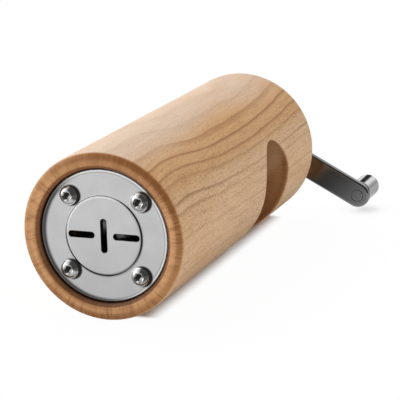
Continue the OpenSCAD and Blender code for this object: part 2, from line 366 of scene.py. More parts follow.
class Place:
    """Place on a piece in millimetres, also as a distance and a direction from the mill's axis."""

    def __init__(self, graph: Graph) -> None:
        """Read the place in a graph.

        Args:
            graph: Graph of a material.
        """
        self.graph = graph
        self.vector = graph.place()
        self.x, self.level, self.z = graph.parts(self.vector)

    @cached_property
    def radius(self) -> Value:
        """Distance from the mill's axis, kept above nothing so that it can divide."""
        return (self.x * self.x + self.z * self.z).root().at_least(LEAST_RADIUS)

    @cached_property
    def right(self) -> Value:
        """Part to the right of the direction from the mill's axis."""
        return self.x / self.radius

    @cached_property
    def up(self) -> Value:
        """Part upwards of the direction from the mill's axis."""
        return self.z / self.radius

    def facing(self, direction: Point2) -> Value:
        """Likeness of the direction from the mill's axis to another, 1 where they agree."""
        return self.right * direction[0] + self.up * direction[1]

    def distance(self, centre: Point2) -> Value:
        """Distance from a line along the mill's axis.

        Args:
            centre: Place of the line across the mill's axis.

        Returns:
            The distance.
        """
        right = self.x - centre[0]
        up = self.z - centre[1]
        return (right * right + up * up).root()

    def scaled(self, factors: Triple) -> Socket:
        """Place multiplied axis by axis, for noise of that fineness."""
        return self.graph.stretch(self.vector, factors)


class Growth(NamedTuple):
    """Growth rings at a place of the wood.

    depth is measured across the rings, high is the share of the upper part of the mill, late the share
    of late wood, and weight the strength of the ring's line.
    """

    depth: Value
    high: Value
    late: Value
    weight: Value


class EndGrain(NamedTuple):
    """Marks of the cut ends: fine ticks, the streaks that they make, and broad patches."""

    tick: Value
    streak: Value
    patch: Value


@dataclass(frozen=True)
class WoodFinish:
    """Fine-sanded wood under an oil finish, with growth lines along the mill's axis.

    Fields that end in scale are the fineness of a noise, pairs are the start and the end of an eased
    step, and fields that end in share are how far a mark covers what is under it.
    """

    name: str = "body_wood"
    roughness: float = 0.46
    fibre_rough: float = 0.10
    late_rough: float = 0.05
    specular: float = 0.35
    relief_shares: Triple = (0.5, 0.3, 0.3)
    pale: Color = (0.740, 0.555, 0.405, 1.0)
    tan: Color = (0.800, 0.532, 0.306, 1.0)
    warm: Color = (0.700, 0.385, 0.160, 1.0)
    line: Color = (0.275, 0.095, 0.022, 1.0)
    end_pale: Color = (0.718, 0.384, 0.168, 1.0)
    end_dark: Color = (0.370, 0.155, 0.050, 1.0)
    # Colour of the darker band along the rims: wear, deepened by painted shade
    edge: Color = (0.255, 0.088, 0.016, 1.0)
    # Brown of painted shade on the recess wall and at the window's lower end
    shaded_brown: Color = (0.270, 0.094, 0.022, 1.0)
    # Near-black of the painted shadow where the plate meets the recess wall
    deep: Color = (0.060, 0.024, 0.010, 1.0)

    lean: float = 110.0
    ring: float = 3.6
    shift: float = 1.4
    bow: float = 0.003
    drift: float = 0.012
    sway: float = 9.0
    sway_scale: Triple = (0.020, 0.016, 0.020)
    ripple: float = 1.8
    ripple_scale: Triple = (0.07, 0.035, 0.07)
    uneven: float = 5.0
    uneven_scale: float = 0.16
    late_rise: Point2 = (0.56, 0.90)
    late_fall: Point2 = (0.92, 1.0)
    line_least: float = 0.4
    line_chance: float = 0.6
    line_far: float = 0.32
    line_near: float = 0.68
    line_high: float = 0.12

    band_rise: Point2 = (1.0, 8.0)
    near_rise: Point2 = (-3.0, 5.0)
    top_fall: Point2 = (13.0, 21.0)
    high_rise: Point2 = (8.0, 22.0)
    band_share: float = 0.85
    cloud_scale: Triple = (0.07, 0.018, 0.07)
    cloud_rise: Point2 = (0.40, 0.75)
    cloud_share: float = 0.35
    fibre_scale: Triple = (1.4, 0.09, 1.4)
    fibre_rise: Point2 = (0.40, 0.68)
    fibre_share: float = 0.22
    fibre_high: float = 0.10
    fleck_scale: Triple = (2.6, 0.95, 2.6)
    fleck_rise: Point2 = (0.52, 0.68)
    fleck_share: float = 0.54
    fleck_high: float = 0.30
    line_share: float = 0.72

    tick_turns: float = 40.0
    tick_depth: float = 0.20
    patch_turns: float = 7.0
    patch_depth: float = 0.10
    patch_rise: Point2 = (0.35, 0.75)
    patch_share: float = 0.35
    streak_rise: Point2 = (0.42, 0.66)
    tick_rise: Point2 = (0.48, 0.62)
    tick_patch: Point2 = (0.30, 0.65)
    tick_least: float = 0.15
    tick_share: float = 0.45
    end_line_share: float = 0.5
    # Painted shade on the top of the rim
    upper_rise: Point2 = (0.4, 1.0)
    upper_share: float = 0.55
    # Darker towards the lower left, next to the recess
    lower_left_rise: Point2 = (0.3, 0.9)
    lower_left_fall: Point2 = (21.4, 22.4)
    lower_left_share: float = 0.45
    # Painted shade on the far end
    far_end: Point2 = (121.0, 122.0)
    far_share: float = 0.5
    end_slope: Point2 = (0.48, 0.74)

    # Rim band: wear, with painted shade that changes round the rim
    rim_rise: Point2 = (22.0, 23.5)
    rim_fall: Point2 = (24.2, 24.95)
    rim_mean: float = 0.65
    rim_right: float = 0.19
    rim_up: float = 0.08
    rim_corners: float = 0.45
    rim_sides: float = 0.11
    rim_window: float = 0.25
    rim_streaks: Point2 = (0.85, 0.30)
    window_rise: Point2 = (55.0, 65.0)
    window_fall: Point2 = (104.0, 110.0)
    window_skin: Point2 = (24.5, 24.95)
    # Painted shade inside the window, and painted light on its floor
    pocket_share: float = 0.40
    pocket_light: float = 0.25
    pocket_rise: Point2 = (-5.0, 3.0)
    low_end: Point2 = (-21.0, -4.0)
    low_end_share: float = 0.65
    floor_rise: Point2 = (17.5, 23.0)
    floor_lift: float = 0.8
    floor_share: float = 0.6
    # Painted shade on the recess wall, reaching further out at the left and bottom, and a painted shadow at
    # its foot
    recess_wall: Point2 = (21.1, 21.5)
    recess_floor: Point2 = (3.4, 3.8)
    recess_right: float = 0.3
    recess_lower: float = 0.2
    lower_rise: Point2 = (0.0, 0.8)
    wall_rise: Point2 = (0.10, 0.50)
    wall_share: float = 0.95
    wall_streaks: float = 0.35
    wall_lower: float = 0.30
    deep_rise: Point2 = (0.7, 1.7)
    deep_share: float = 0.9

    def growth(self, place: Place) -> Growth:
        """Growth rings that cross the mill almost flat and run along it.

        Args:
            place: Place on the piece.

        Returns:
            The rings there.
        """
        graph = place.graph
        lean = math.radians(self.lean)
        depth = place.x * math.cos(lean) + place.z * math.sin(lean)
        aside = place.x * math.sin(lean) - place.z * math.cos(lean)
        sway = graph.noise(place.scaled(self.sway_scale), detail=1.0) * self.sway
        ripple = graph.noise(place.scaled(self.ripple_scale)) * self.ripple
        bent = depth + aside * aside * self.bow + place.level * self.drift + sway + ripple
        uneven = graph.noise(graph.join(bent * self.uneven_scale, 0.0, 0.0), detail=1.0) * self.uneven
        count = (bent + uneven + self.shift) / self.ring
        share = count.fraction()
        late = share.ease(*self.late_rise) * (1 - share.ease(*self.late_fall))
        high = depth.ease(*self.high_rise)
        near = depth.ease(*self.near_rise) * (1 - depth.ease(*self.top_fall))
        luck = graph.chance(count.whole()) * self.line_chance + self.line_least
        weight = luck * (near * self.line_near + self.line_far - high * self.line_high)
        return Growth(depth, high, late, weight)

    def end_grain(self, place: Place) -> EndGrain:
        """Marks that run from the axis outwards on the cut ends and in the recess.

        Args:
            place: Place on the piece.

        Returns:
            The marks there.
        """
        graph = place.graph
        right, up, radius = place.right, place.up, place.radius
        fine = graph.join(right * self.tick_turns, radius * self.tick_depth, up * self.tick_turns)
        broad = graph.join(right * self.patch_turns, radius * self.patch_depth, up * self.patch_turns)
        tick = graph.noise(fine, roughness=0.6)
        return EndGrain(tick, tick.ease(*self.streak_rise), graph.noise(broad))

    def side(self, place: Place, growth: Growth, fibre: Value, fleck: Value) -> Socket:
        """Colour of the long side.

        Args:
            place: Place on the piece.
            growth: Growth rings there.
            fibre: Fine streaks along the mill.
            fleck: Short dark dashes.

        Returns:
            The colour.
        """
        graph = place.graph
        band = growth.depth.ease(*self.band_rise) * (1 - growth.depth.ease(*self.top_fall))
        cloud = graph.noise(place.scaled(self.cloud_scale)).ease(*self.cloud_rise)
        base = graph.mix(growth.high, self.tan, self.pale)
        tone = graph.mix(band * self.band_share + cloud * self.cloud_share, base, self.warm)
        lined = graph.mix(growth.late * growth.weight * self.line_share, tone, self.line)
        fibrous = fibre.ease(*self.fibre_rise) * (self.fibre_share - growth.high * self.fibre_high)
        flecked = fleck * (self.fleck_share - growth.high * self.fleck_high)
        return graph.mix(flecked, graph.mix(fibrous, lined, self.line), self.line)

    def end(self, place: Place, growth: Growth, grain: EndGrain) -> Socket:
        """Colour of the two cut ends, with painted shade that browns the top of the rim and the far end.

        Args:
            place: Place on the piece.
            growth: Growth rings there.
            grain: Marks of the cut there.

        Returns:
            The colour.
        """
        graph = place.graph
        ringed = graph.mix(growth.late * growth.weight * self.end_line_share, self.end_pale, self.end_dark)
        patches = grain.patch.ease(*self.patch_rise) * self.patch_share
        # Painted shade on the top of the rim
        upper = place.facing(UPPER).ease(*self.upper_rise) * self.upper_share
        # Darker towards the lower left, next to the recess
        inner = 1 - place.radius.ease(*self.lower_left_fall)
        lower_left_dark = place.facing(LOWER_LEFT).ease(*self.lower_left_rise) * inner * self.lower_left_share
        toned = graph.mix(patches + upper + lower_left_dark, ringed, self.end_dark)
        strength = grain.patch.ease(*self.tick_patch) * self.tick_share + self.tick_least
        ticked = graph.mix(grain.tick.ease(*self.tick_rise) * strength, toned, self.end_dark)
        # Painted shade that darkens the far end
        return graph.mix(place.level.ease(*self.far_end) * self.far_share, ticked, self.end_dark)

    def rim_band(self, place: Place, grain: EndGrain, window: Value) -> Value:
        """Share of the darker band along the rims: wear, with painted shade strongest at the upper right.

        Args:
            place: Place on the piece.
            grain: Marks of the cut there.
            window: Share of the window's stretch.

        Returns:
            The share.
        """
        right, up = place.right, place.up
        # Painted shade: the band is darkest at the upper right and the top, and lightest at the left
        lean = right * self.rim_right + up * self.rim_up
        corners = right * up * self.rim_corners - (right * right - up * up) * self.rim_sides
        rim = place.radius.ease(*self.rim_rise) * (1 - place.radius.ease(*self.rim_fall))
        streaks = grain.streak * self.rim_streaks[1] + self.rim_streaks[0]
        return rim * (self.rim_mean + lean + corners) * (1 - window * self.rim_window) * streaks

    def recess(self, place: Place, grain: EndGrain, colour: Socket) -> Socket:
        """Wall of the base recess in painted shade, darkest in a painted shadow where the plate meets it.

        Args:
            place: Place on the piece.
            grain: Marks of the cut there.
            colour: Colour of the wood outside the recess.

        Returns:
            The colour.
        """
        graph = place.graph
        # Painted shade on the recess wall, darker towards the bottom, with a painted shadow at its foot
        # beside the plate
        lower = (0 - place.up).ease(*self.lower_rise)
        reach = place.radius + place.right * self.recess_right - lower * self.recess_lower
        sunk = (1 - reach.ease(*self.recess_wall)) * (1 - place.level.ease(*self.recess_floor))
        wall = graph.mix(grain.streak * self.wall_streaks + lower * self.wall_lower, self.shaded_brown, self.deep)
        shaded_brown = graph.mix(sunk * place.level.ease(*self.wall_rise) * self.wall_share, colour, wall)
        return graph.mix(sunk * place.level.ease(*self.deep_rise) * self.deep_share, shaded_brown, self.deep)

    def pocket(self, place: Place, window: Value, colour: Socket) -> Socket:
        """Inside of the window: painted shade, deepest at its lower end, and painted light on its floor.

        Args:
            place: Place on the piece.
            window: Share of the window's stretch.
            colour: Colour of the wood outside the window.

        Returns:
            The colour.
        """
        graph = place.graph
        inside = window * (1 - place.radius.ease(*self.window_skin))
        # Painted shade inside the window, deeper at its lower end
        shade = self.pocket_share - place.z.ease(*self.pocket_rise) * self.pocket_light
        low_end = (1 - place.z.ease(*self.low_end)) * self.low_end_share
        # Painted light on the window's floor
        floor = (1 - (place.radius - place.z * self.floor_lift).ease(*self.floor_rise)) * self.floor_share
        shaded = graph.mix(inside * shade, colour, self.end_dark)
        return graph.mix(inside * floor, graph.mix(inside * low_end, shaded, self.shaded_brown), self.tan)

    def material(self) -> Material:
        """Build the material.

        Returns:
            The material.
        """
        graph, material = Graph.of_material(self.name)
        place = Place(graph)
        growth = self.growth(place)
        grain = self.end_grain(place)
        fibre = graph.noise(place.scaled(self.fibre_scale), detail=4.0, roughness=0.7)
        fleck = graph.noise(place.scaled(self.fleck_scale), roughness=0.6).ease(*self.fleck_rise)
        window = place.level.ease(*self.window_rise) * (1 - place.level.ease(*self.window_fall))
        normal = graph.node("ShaderNodeTexCoord").outputs["Normal"]
        ending = abs(graph.parts(normal)[1]).ease(*self.end_slope)

        side = self.side(place, growth, fibre, fleck)
        cut = graph.mix(ending, side, self.end(place, growth, grain))
        # Darker rim band: wear with painted shade
        edge_toned = graph.mix(self.rim_band(place, grain, window), cut, self.edge)
        sunk = self.recess(place, grain, edge_toned)
        by_fibre, by_ring, by_fleck = self.relief_shares
        relief = fibre * by_fibre + (1 - growth.late) * by_ring + (1 - fleck) * by_fleck
        graph.surface(
            {
                "Base Color": self.pocket(place, window, sunk),
                "Roughness": self.roughness + fibre * self.fibre_rough + growth.late * self.late_rough,
                "Specular IOR Level": self.specular,
                "Normal": graph.bump(relief, depth=0.04, strength=0.4),
            }
        )
        return material


def shady(place: Place) -> Value:
    """Share of a place on the lower right of the base, where an edge turns from the light."""
    return place.facing(LOWER_RIGHT).ease(-0.3, 0.6)


def sunny(place: Place) -> Value:
    """Share of a place on the upper left of the base, where an edge gets a painted highlight."""
    return place.facing(UPPER_LEFT).ease(0.3, 0.8)


@dataclass(frozen=True)
class SteelFinish:
    """Bare metal with fine working marks and a faint cloudiness.

    axis is the turning axis of turned marks, depth their relief, and spread how far the roughness varies.
    """

    name: str
    tint: Color
    shade: Color
    roughness: float
    grain: Grain
    axis: Point2 = (0.0, 0.0)
    depth: float = 0.004
    spread: float = 0.10
    # Near-black of painted shade, and of dirt in the screw sockets
    shade_and_dirt_black: Color = (0.022, 0.019, 0.017, 1.0)
    # Dull white of painted highlights
    highlight_white: Color = (0.93, 0.93, 0.93, 1.0)
    stroke_scale: Triple = (0.25, 7.0, 7.0)
    ring_scale: float = 6.0
    polish_scale: Triple = (1.1, 1.1, 1.1)
    cloud_scale: Triple = (0.16, 0.16, 0.16)
    cloud_rise: Point2 = (0.30, 0.75)
    cloud_share: float = 0.6
    marks_share: float = 0.25

    def marks(self, place: Place) -> Value:
        """Working marks of the finish.

        Args:
            place: Place on the piece.

        Returns:
            The height of the marks from 0 to 1.
        """
        graph = place.graph
        if self.grain is Grain.BRUSHED:
            return graph.noise(place.scaled(self.stroke_scale), detail=3.0, roughness=0.65)
        if self.grain is Grain.TURNED:
            ring = place.distance(self.axis) * self.ring_scale
            turned = graph.join(ring, place.level * self.ring_scale, 0.0)
            return graph.noise(turned, detail=3.0, roughness=0.6)
        return graph.noise(place.scaled(self.polish_scale), detail=4.0, roughness=0.7)

    def shade_and_dirt(self, place: Place) -> Term:
        """Share of painted shade, and of dirt, at a place; none on plain pieces."""
        return 0.0

    def painted_highlight(self, place: Place) -> Term:
        """Share of painted highlight at a place, a dull white in place of mirror shine; none on plain
        pieces.
        """
        return 0.0

    def material(self) -> Material:
        """Build the material.

        Returns:
            The material.
        """
        graph, material = Graph.of_material(self.name)
        place = Place(graph)
        marks = self.marks(place)
        cloud = graph.noise(place.scaled(self.cloud_scale), detail=3.0, roughness=0.6)
        clouded = cloud.ease(*self.cloud_rise) * self.cloud_share + marks * self.marks_share
        clean = graph.mix(clouded, self.tint, self.shade)
        # Painted highlight: dull white in place of the mirror shine
        painted_highlight = self.painted_highlight(place)
        edge_toned = graph.mix(painted_highlight, clean, self.highlight_white)
        uneven = (marks - 0.5) + (cloud - 0.5) * 0.5
        # Base colour carries painted shade, dirt in the screw sockets, and painted highlights
        graph.surface(
            {
                "Base Color": graph.mix(self.shade_and_dirt(place), edge_toned, self.shade_and_dirt_black),
                "Metallic": 1.0 - painted_highlight,
                "Roughness": self.roughness + uneven * self.spread,
                "Normal": graph.bump(marks, self.depth, strength=0.6),
            }
        )
        return material


@dataclass(frozen=True)
class SocketFinish(SteelFinish):
    """Polished screw steel, with dirt and painted shade in the sockets and a painted highlight at the heads'
    edge.

    Pairs are the start and the end of an eased step, counted from the head's radius or the socket's wall.
    """

    # Painted dull-white highlight on the lower left foot of each head
    foot_rise: Point2 = (-0.35, -0.15)
    foot_fall: Point2 = (0.05, 0.25)
    foot_from: Point2 = (-0.7, -0.7)
    foot_side: Point2 = (-0.5, 0.3)
    foot_share: float = 0.95
    # Dirt and painted shade in the socket, less on its lower right wall where light falls
    wall: Point2 = (-0.06, 0.04)
    lit_wall_from: Point2 = (0.8, -0.6)
    lit_wall_side: Point2 = (0.25, 0.6)
    lit_wall_share: float = 0.85

    def from_screw(self, place: Place) -> tuple[Value, Value]:
        """Place to the right of and above the axis of the nearest plate screw."""
        return place.x - place.x.sign() * SCREW_PITCH, place.z - place.z.sign() * SCREW_PITCH

    def painted_highlight(self, place: Place) -> Term:
        """Share of painted highlight at a place, a dull white on the lower left foot of a head.

        Args:
            place: Place on the piece.

        Returns:
            The share.
        """
        right, up = self.from_screw(place)
        radius = (right * right + up * up).root().at_least(LEAST_RADIUS)
        past = radius - SCREW_HEAD_R
        foot = past.ease(*self.foot_rise) * (1 - past.ease(*self.foot_fall))
        lower_left = right * self.foot_from[0] + up * self.foot_from[1]
        return foot * (lower_left / radius).ease(*self.foot_side) * self.foot_share

    def shade_and_dirt(self, place: Place) -> Term:
        """Share of dirt and painted shade at a place, all in a socket and least on its lit lower right wall.

        Args:
            place: Place on the piece.

        Returns:
            The share.
        """
        right, up = self.from_screw(place)
        slant = abs(right) * math.cos(math.radians(30)) + abs(up) * math.sin(math.radians(30))
        past = slant.at_least(abs(up)) - SOCKET_HALF
        # Less painted shade on the socket's lower right wall, where light falls
        lower_right = right * self.lit_wall_from[0] + up * self.lit_wall_from[1]
        clean = lower_right.ease(*self.lit_wall_side) * self.lit_wall_share
        return (1 - past.ease(*self.wall)) * (1 - clean)


@dataclass(frozen=True)
class EdgedFinish(SteelFinish):
    """Satin steel of the base plate, with painted highlights and painted shade by its edge, heads, disc and
    wood.

    Pairs are the start and the end of an eased step.
    """

    # Painted highlights along the edge and the disc's seam, painted shade by the heads, the edge and the
    # disc
    edge_r: float = 19.0
    edge_rise: Point2 = (0.0, 0.12)
    edge_share: float = 0.85
    beside: Point2 = (0.9, 0.15)
    head_shadow_reach: float = 0.6
    bead_rise: Point2 = (-0.40, -0.20)
    bead_fall: Point2 = (-0.10, 0.0)
    bead_share: float = 0.3
    dark_centre: Point2 = (0.7, 0.1)
    dark_rise: Point2 = (18.3, 19.3)
    dark_side: Point2 = (-0.20, 0.45)
    dark_share: float = 0.9
    dark_seam: Point2 = (0.01, 0.61)
    dark_seam_share: float = 0.5
    bright_seam: Point2 = (0.16, 0.36)
    bright_seam_share: float = 0.6

    def shade_and_dirt(self, place: Place) -> Term:
        """Share of painted shade at a place, most of it right of a screw head and at the left edge.

        Args:
            place: Place on the piece.

        Returns:
            The share.
        """
        # Painted shadow right of each screw head
        right = abs(place.x - self.beside[0]) - SCREW_PITCH
        up = abs(place.z - self.beside[1]) - SCREW_PITCH
        head = 1 - ((right * right + up * up).root() - SCREW_HEAD_R).ease(0.0, self.head_shadow_reach)
        # Painted shade along the outer edge and round the disc's lower right
        past = place.radius - self.edge_r
        bead = past.ease(*self.bead_rise) * (1 - past.ease(*self.bead_fall)) * self.bead_share
        # Painted reflection of the dark wall, as shade on the left edge
        outer = place.distance(self.dark_centre).ease(*self.dark_rise)
        dark = outer * place.facing(LEFT).ease(*self.dark_side) * self.dark_share
        inner = 1 - (place.radius - OPENING_R).ease(*self.dark_seam)
        seam = inner * shady(place) * self.dark_seam_share
        return head.at_least(bead).at_least(dark).at_least(seam)

    def painted_highlight(self, place: Place) -> Term:
        """Share of painted highlight at a place, along the outer edge and beside the disc.

        Args:
            place: Place on the piece.

        Returns:
            The share.
        """
        # Painted highlights on the outer edge and on the disc's upper left seam
        inner = 1 - (place.radius - OPENING_R).ease(*self.bright_seam)
        edge = (place.radius - self.edge_r).ease(*self.edge_rise) * self.edge_share
        return edge.at_least(inner * sunny(place) * self.bright_seam_share)


@dataclass(frozen=True)
class SlotFinish(SteelFinish):
    """Satin steel of the cutter disc, painted shade below its open face, and painted light and shade on its
    rim.

    Pairs are the start and the end of an eased step, counted from the open face or the disc's radius.
    """

    # Painted shade below the face and on the rim's lower right; painted highlight on its upper left
    below: Point2 = (0.2, 0.9)
    below_share: float = 0.9
    flank: Point2 = (-0.48, -0.18)
    flank_less_shade: float = 0.25
    dark_rim: Point2 = (-0.78, -0.03)
    dark_rim_share: float = 0.55
    bright_rim: Point2 = (-0.53, -0.38)
    bright_rim_share: float = 0.7

    def shade_and_dirt(self, place: Place) -> Term:
        """Share of painted shade at a place, rising below the face and on the lower right of the rim.

        Args:
            place: Place on the piece.

        Returns:
            The share.
        """
        # Painted shade inside the slots below the face, and on the rim's lower right
        past = place.radius - DISC_R
        share = self.below_share - past.ease(*self.flank) * self.flank_less_shade
        below = (place.level - PLATE_FACE).ease(*self.below) * share
        return below.at_least(past.ease(*self.dark_rim) * shady(place) * self.dark_rim_share)

    def painted_highlight(self, place: Place) -> Term:
        """Share of painted highlight at a place, on the rim that faces the light."""
        return (place.radius - DISC_R).ease(*self.bright_rim) * sunny(place) * self.bright_rim_share


@dataclass(frozen=True)
class NylonFinish:
    """Natural nylon with a faint mottling."""

    name: str = "washer_nylon"
    tint: Color = (0.80, 0.78, 0.72, 1.0)
    shade: Color = (0.68, 0.65, 0.58, 1.0)
    mottle_scale: Triple = (0.8, 0.8, 0.8)
    mottle_rise: Point2 = (0.35, 0.7)
    roughness: float = 0.38
    mottle_rough: float = 0.15

    def material(self) -> Material:
        """Build the material.

        Returns:
            The material.
        """
        graph, material = Graph.of_material(self.name)
        mottle = graph.noise(graph.stretch(graph.place(), self.mottle_scale), detail=3.0)
        graph.surface(
            {
                "Base Color": graph.mix(mottle.ease(*self.mottle_rise), self.tint, self.shade),
                "Roughness": self.roughness + mottle * self.mottle_rough,
                "Normal": graph.bump(mottle, depth=0.01, strength=0.4),
            }
        )
        return material


@dataclass(frozen=True)
class FloorFinish:
    """White paper that keeps the mill's contact shadow and is lit up to white away from it.

    middle and half are the body's patch of contact and tip the place under the crank's end. Pairs are the
    start and the end of an eased step.
    """

    name: str = "floor_paper"
    tint: Color = (0.96, 0.96, 0.965, 1.0)
    shade: Color = (0.94, 0.94, 0.945, 1.0)
    black: Color = (0.0, 0.0, 0.0, 1.0)
    white: Color = (1.0, 1.0, 1.0, 1.0)
    mottle_scale: Triple = (0.02, 0.02, 0.02)
    mottle_rise: Point2 = (0.4, 0.7)
    roughness: float = 0.9
    middle: Point2 = (4.0, 65.0)
    half: Point2 = (5.0, 56.5)
    tip: Point2 = (38.0, 142.0)
    body_rise: Point2 = (0.0, 6.5)
    tip_rise: Point2 = (-8.0, 10.0)
    most: float = 0.97
    # Painted shadow and dark patches in what metal mirrors of the paper
    dim_right: Point2 = (0.0, 28.0)
    dim_front: Point2 = (-5.0, 15.0)
    dim_front_share: float = 0.85
    dim_behind: Point2 = (146.0, 165.0)
    dim_behind_share: float = 0.45
    least: float = 0.10
    close: Point2 = (3.0, 40.0)
    close_share: float = 0.68
    away: Point2 = (40.0, 160.0)
    away_share: float = 0.22

    def clearing(self, x: Value, y: Value) -> tuple[Value, Value]:
        """Distance on the floor from the mill.

        Args:
            x: Place across the mill's axis in millimetres.
            y: Place along the mill's axis in millimetres.

        Returns:
            The distance from the body's patch of contact, and the distance from the crank's end.
        """
        beside = (abs(x - self.middle[0]) - self.half[0]).at_least(0.0)
        beyond = (abs(y - self.middle[1]) - self.half[1]).at_least(0.0) * 2.0
        right = x - self.tip[0]
        ahead = y - self.tip[1]
        return (beside * beside + beyond * beyond).root(), (right * right + ahead * ahead).root()

    def mirrored_level(self, x: Value, y: Value, body: Value) -> Value:
        """Brightness of the paper in reflections: a painted shadow near the mill, and painted dark patches.

        Args:
            x: Place across the mill's axis in millimetres.
            y: Place along the mill's axis in millimetres.
            body: Distance from the body's patch of contact.

        Returns:
            The brightness from 0 to 1.
        """
        # Painted dark patches at the right front and behind the crank
        aside = x.ease(*self.dim_right) * (0 - y).ease(*self.dim_front)
        behind = y.ease(*self.dim_behind)
        dim = (aside * self.dim_front_share).at_least(behind * self.dim_behind_share)
        # Painted shadow, deepest close to the mill
        rising = body.ease(*self.close) * self.close_share + body.ease(*self.away) * self.away_share
        return (rising + self.least) * (1 - dim)

    def material(self) -> Material:
        """Build the material.

        Returns:
            The material.
        """
        graph, material = Graph.of_material(self.name)
        place = graph.place()
        x, y, _ = graph.parts(place)
        body, tip = self.clearing(x, y)
        path = graph.node("ShaderNodeLightPath").outputs
        seen = Value(graph, path["Is Camera Ray"])
        glossy = Value(graph, path["Is Glossy Ray"])
        mirrored = (glossy + Value(graph, path["Is Transmission Ray"])).at_most(1.0)
        lit = seen * body.ease(*self.body_rise) * tip.ease(*self.tip_rise) * self.most + mirrored
        level = (seen + self.mirrored_level(x, y, body)).at_most(1.0)
        mottle = graph.noise(graph.stretch(place, self.mottle_scale))
        paper = graph.node(
            "ShaderNodeBsdfPrincipled",
            None,
            {
                "Base Color": graph.mix(mottle.ease(*self.mottle_rise), self.tint, self.shade),
                "Roughness": self.roughness,
                "Specular IOR Level": 0.0,
            },
        )
        # In reflections the paper glows with its painted shadow
        glow = graph.mix(level, self.black, self.white)
        shining = graph.node("ShaderNodeEmission", None, {"Color": glow, "Strength": 1.0})
        blend = graph.node(
            "ShaderNodeMixShader", None, {0: lit.at_most(1.0), 1: paper.outputs[0], 2: shining.outputs[0]}
        )
        graph.node("ShaderNodeOutputMaterial", None, {"Surface": blend.outputs[0]})
        return material


@dataclass(frozen=True)
class Corner:
    """Corner of a turned profile: distance from the axis, level along it, and rounding."""

    r: float
    level: float
    rounding: float = 0.0


@dataclass(frozen=True)
class Obround:
    """Outline with round ends in a plane across the mill's axis; a circle where both sizes agree.

    A hole can have a seat: a step of this extra width and depth in the face towards the crank.
    """

    centre: Point2
    length: float
    width: float
    angle: float = 0.0
    steps: int = 64
    seat: Point2 = (0.0, 0.0)

    @classmethod
    def circle(cls, centre: Point2, radius: float, steps: int, seat: Point2 = (0.0, 0.0)) -> "Obround":
        """Round outline, with a seat where it is a hole that has one."""
        return cls(centre, 2 * radius, 2 * radius, steps=steps, seat=seat)

    def points(self, grow: float = 0.0) -> list[Point2]:
        """Sample the outline.

        Args:
            grow: Distance that the outline is moved outwards.

        Returns:
            Its points in order.
        """
        radius = self.width / 2 + grow
        half = (self.length - self.width) / 2
        turn = math.radians(self.angle)
        found = []
        if half < TINY:
            angles = [(2 * math.pi * i / self.steps, 0.0) for i in range(self.steps)]
        else:
            count = self.steps // 2
            angles = [(math.pi * (i / count - 0.5), half) for i in range(count + 1)]
            angles += [(math.pi * (i / count + 0.5), -half) for i in range(count + 1)]
        for a, shift in angles:
            along = shift + radius * math.cos(a)
            across = radius * math.sin(a)
            right = self.centre[0] + along * math.cos(turn) - across * math.sin(turn)
            up = self.centre[1] + along * math.sin(turn) + across * math.cos(turn)
            found.append((right, up))
        return found


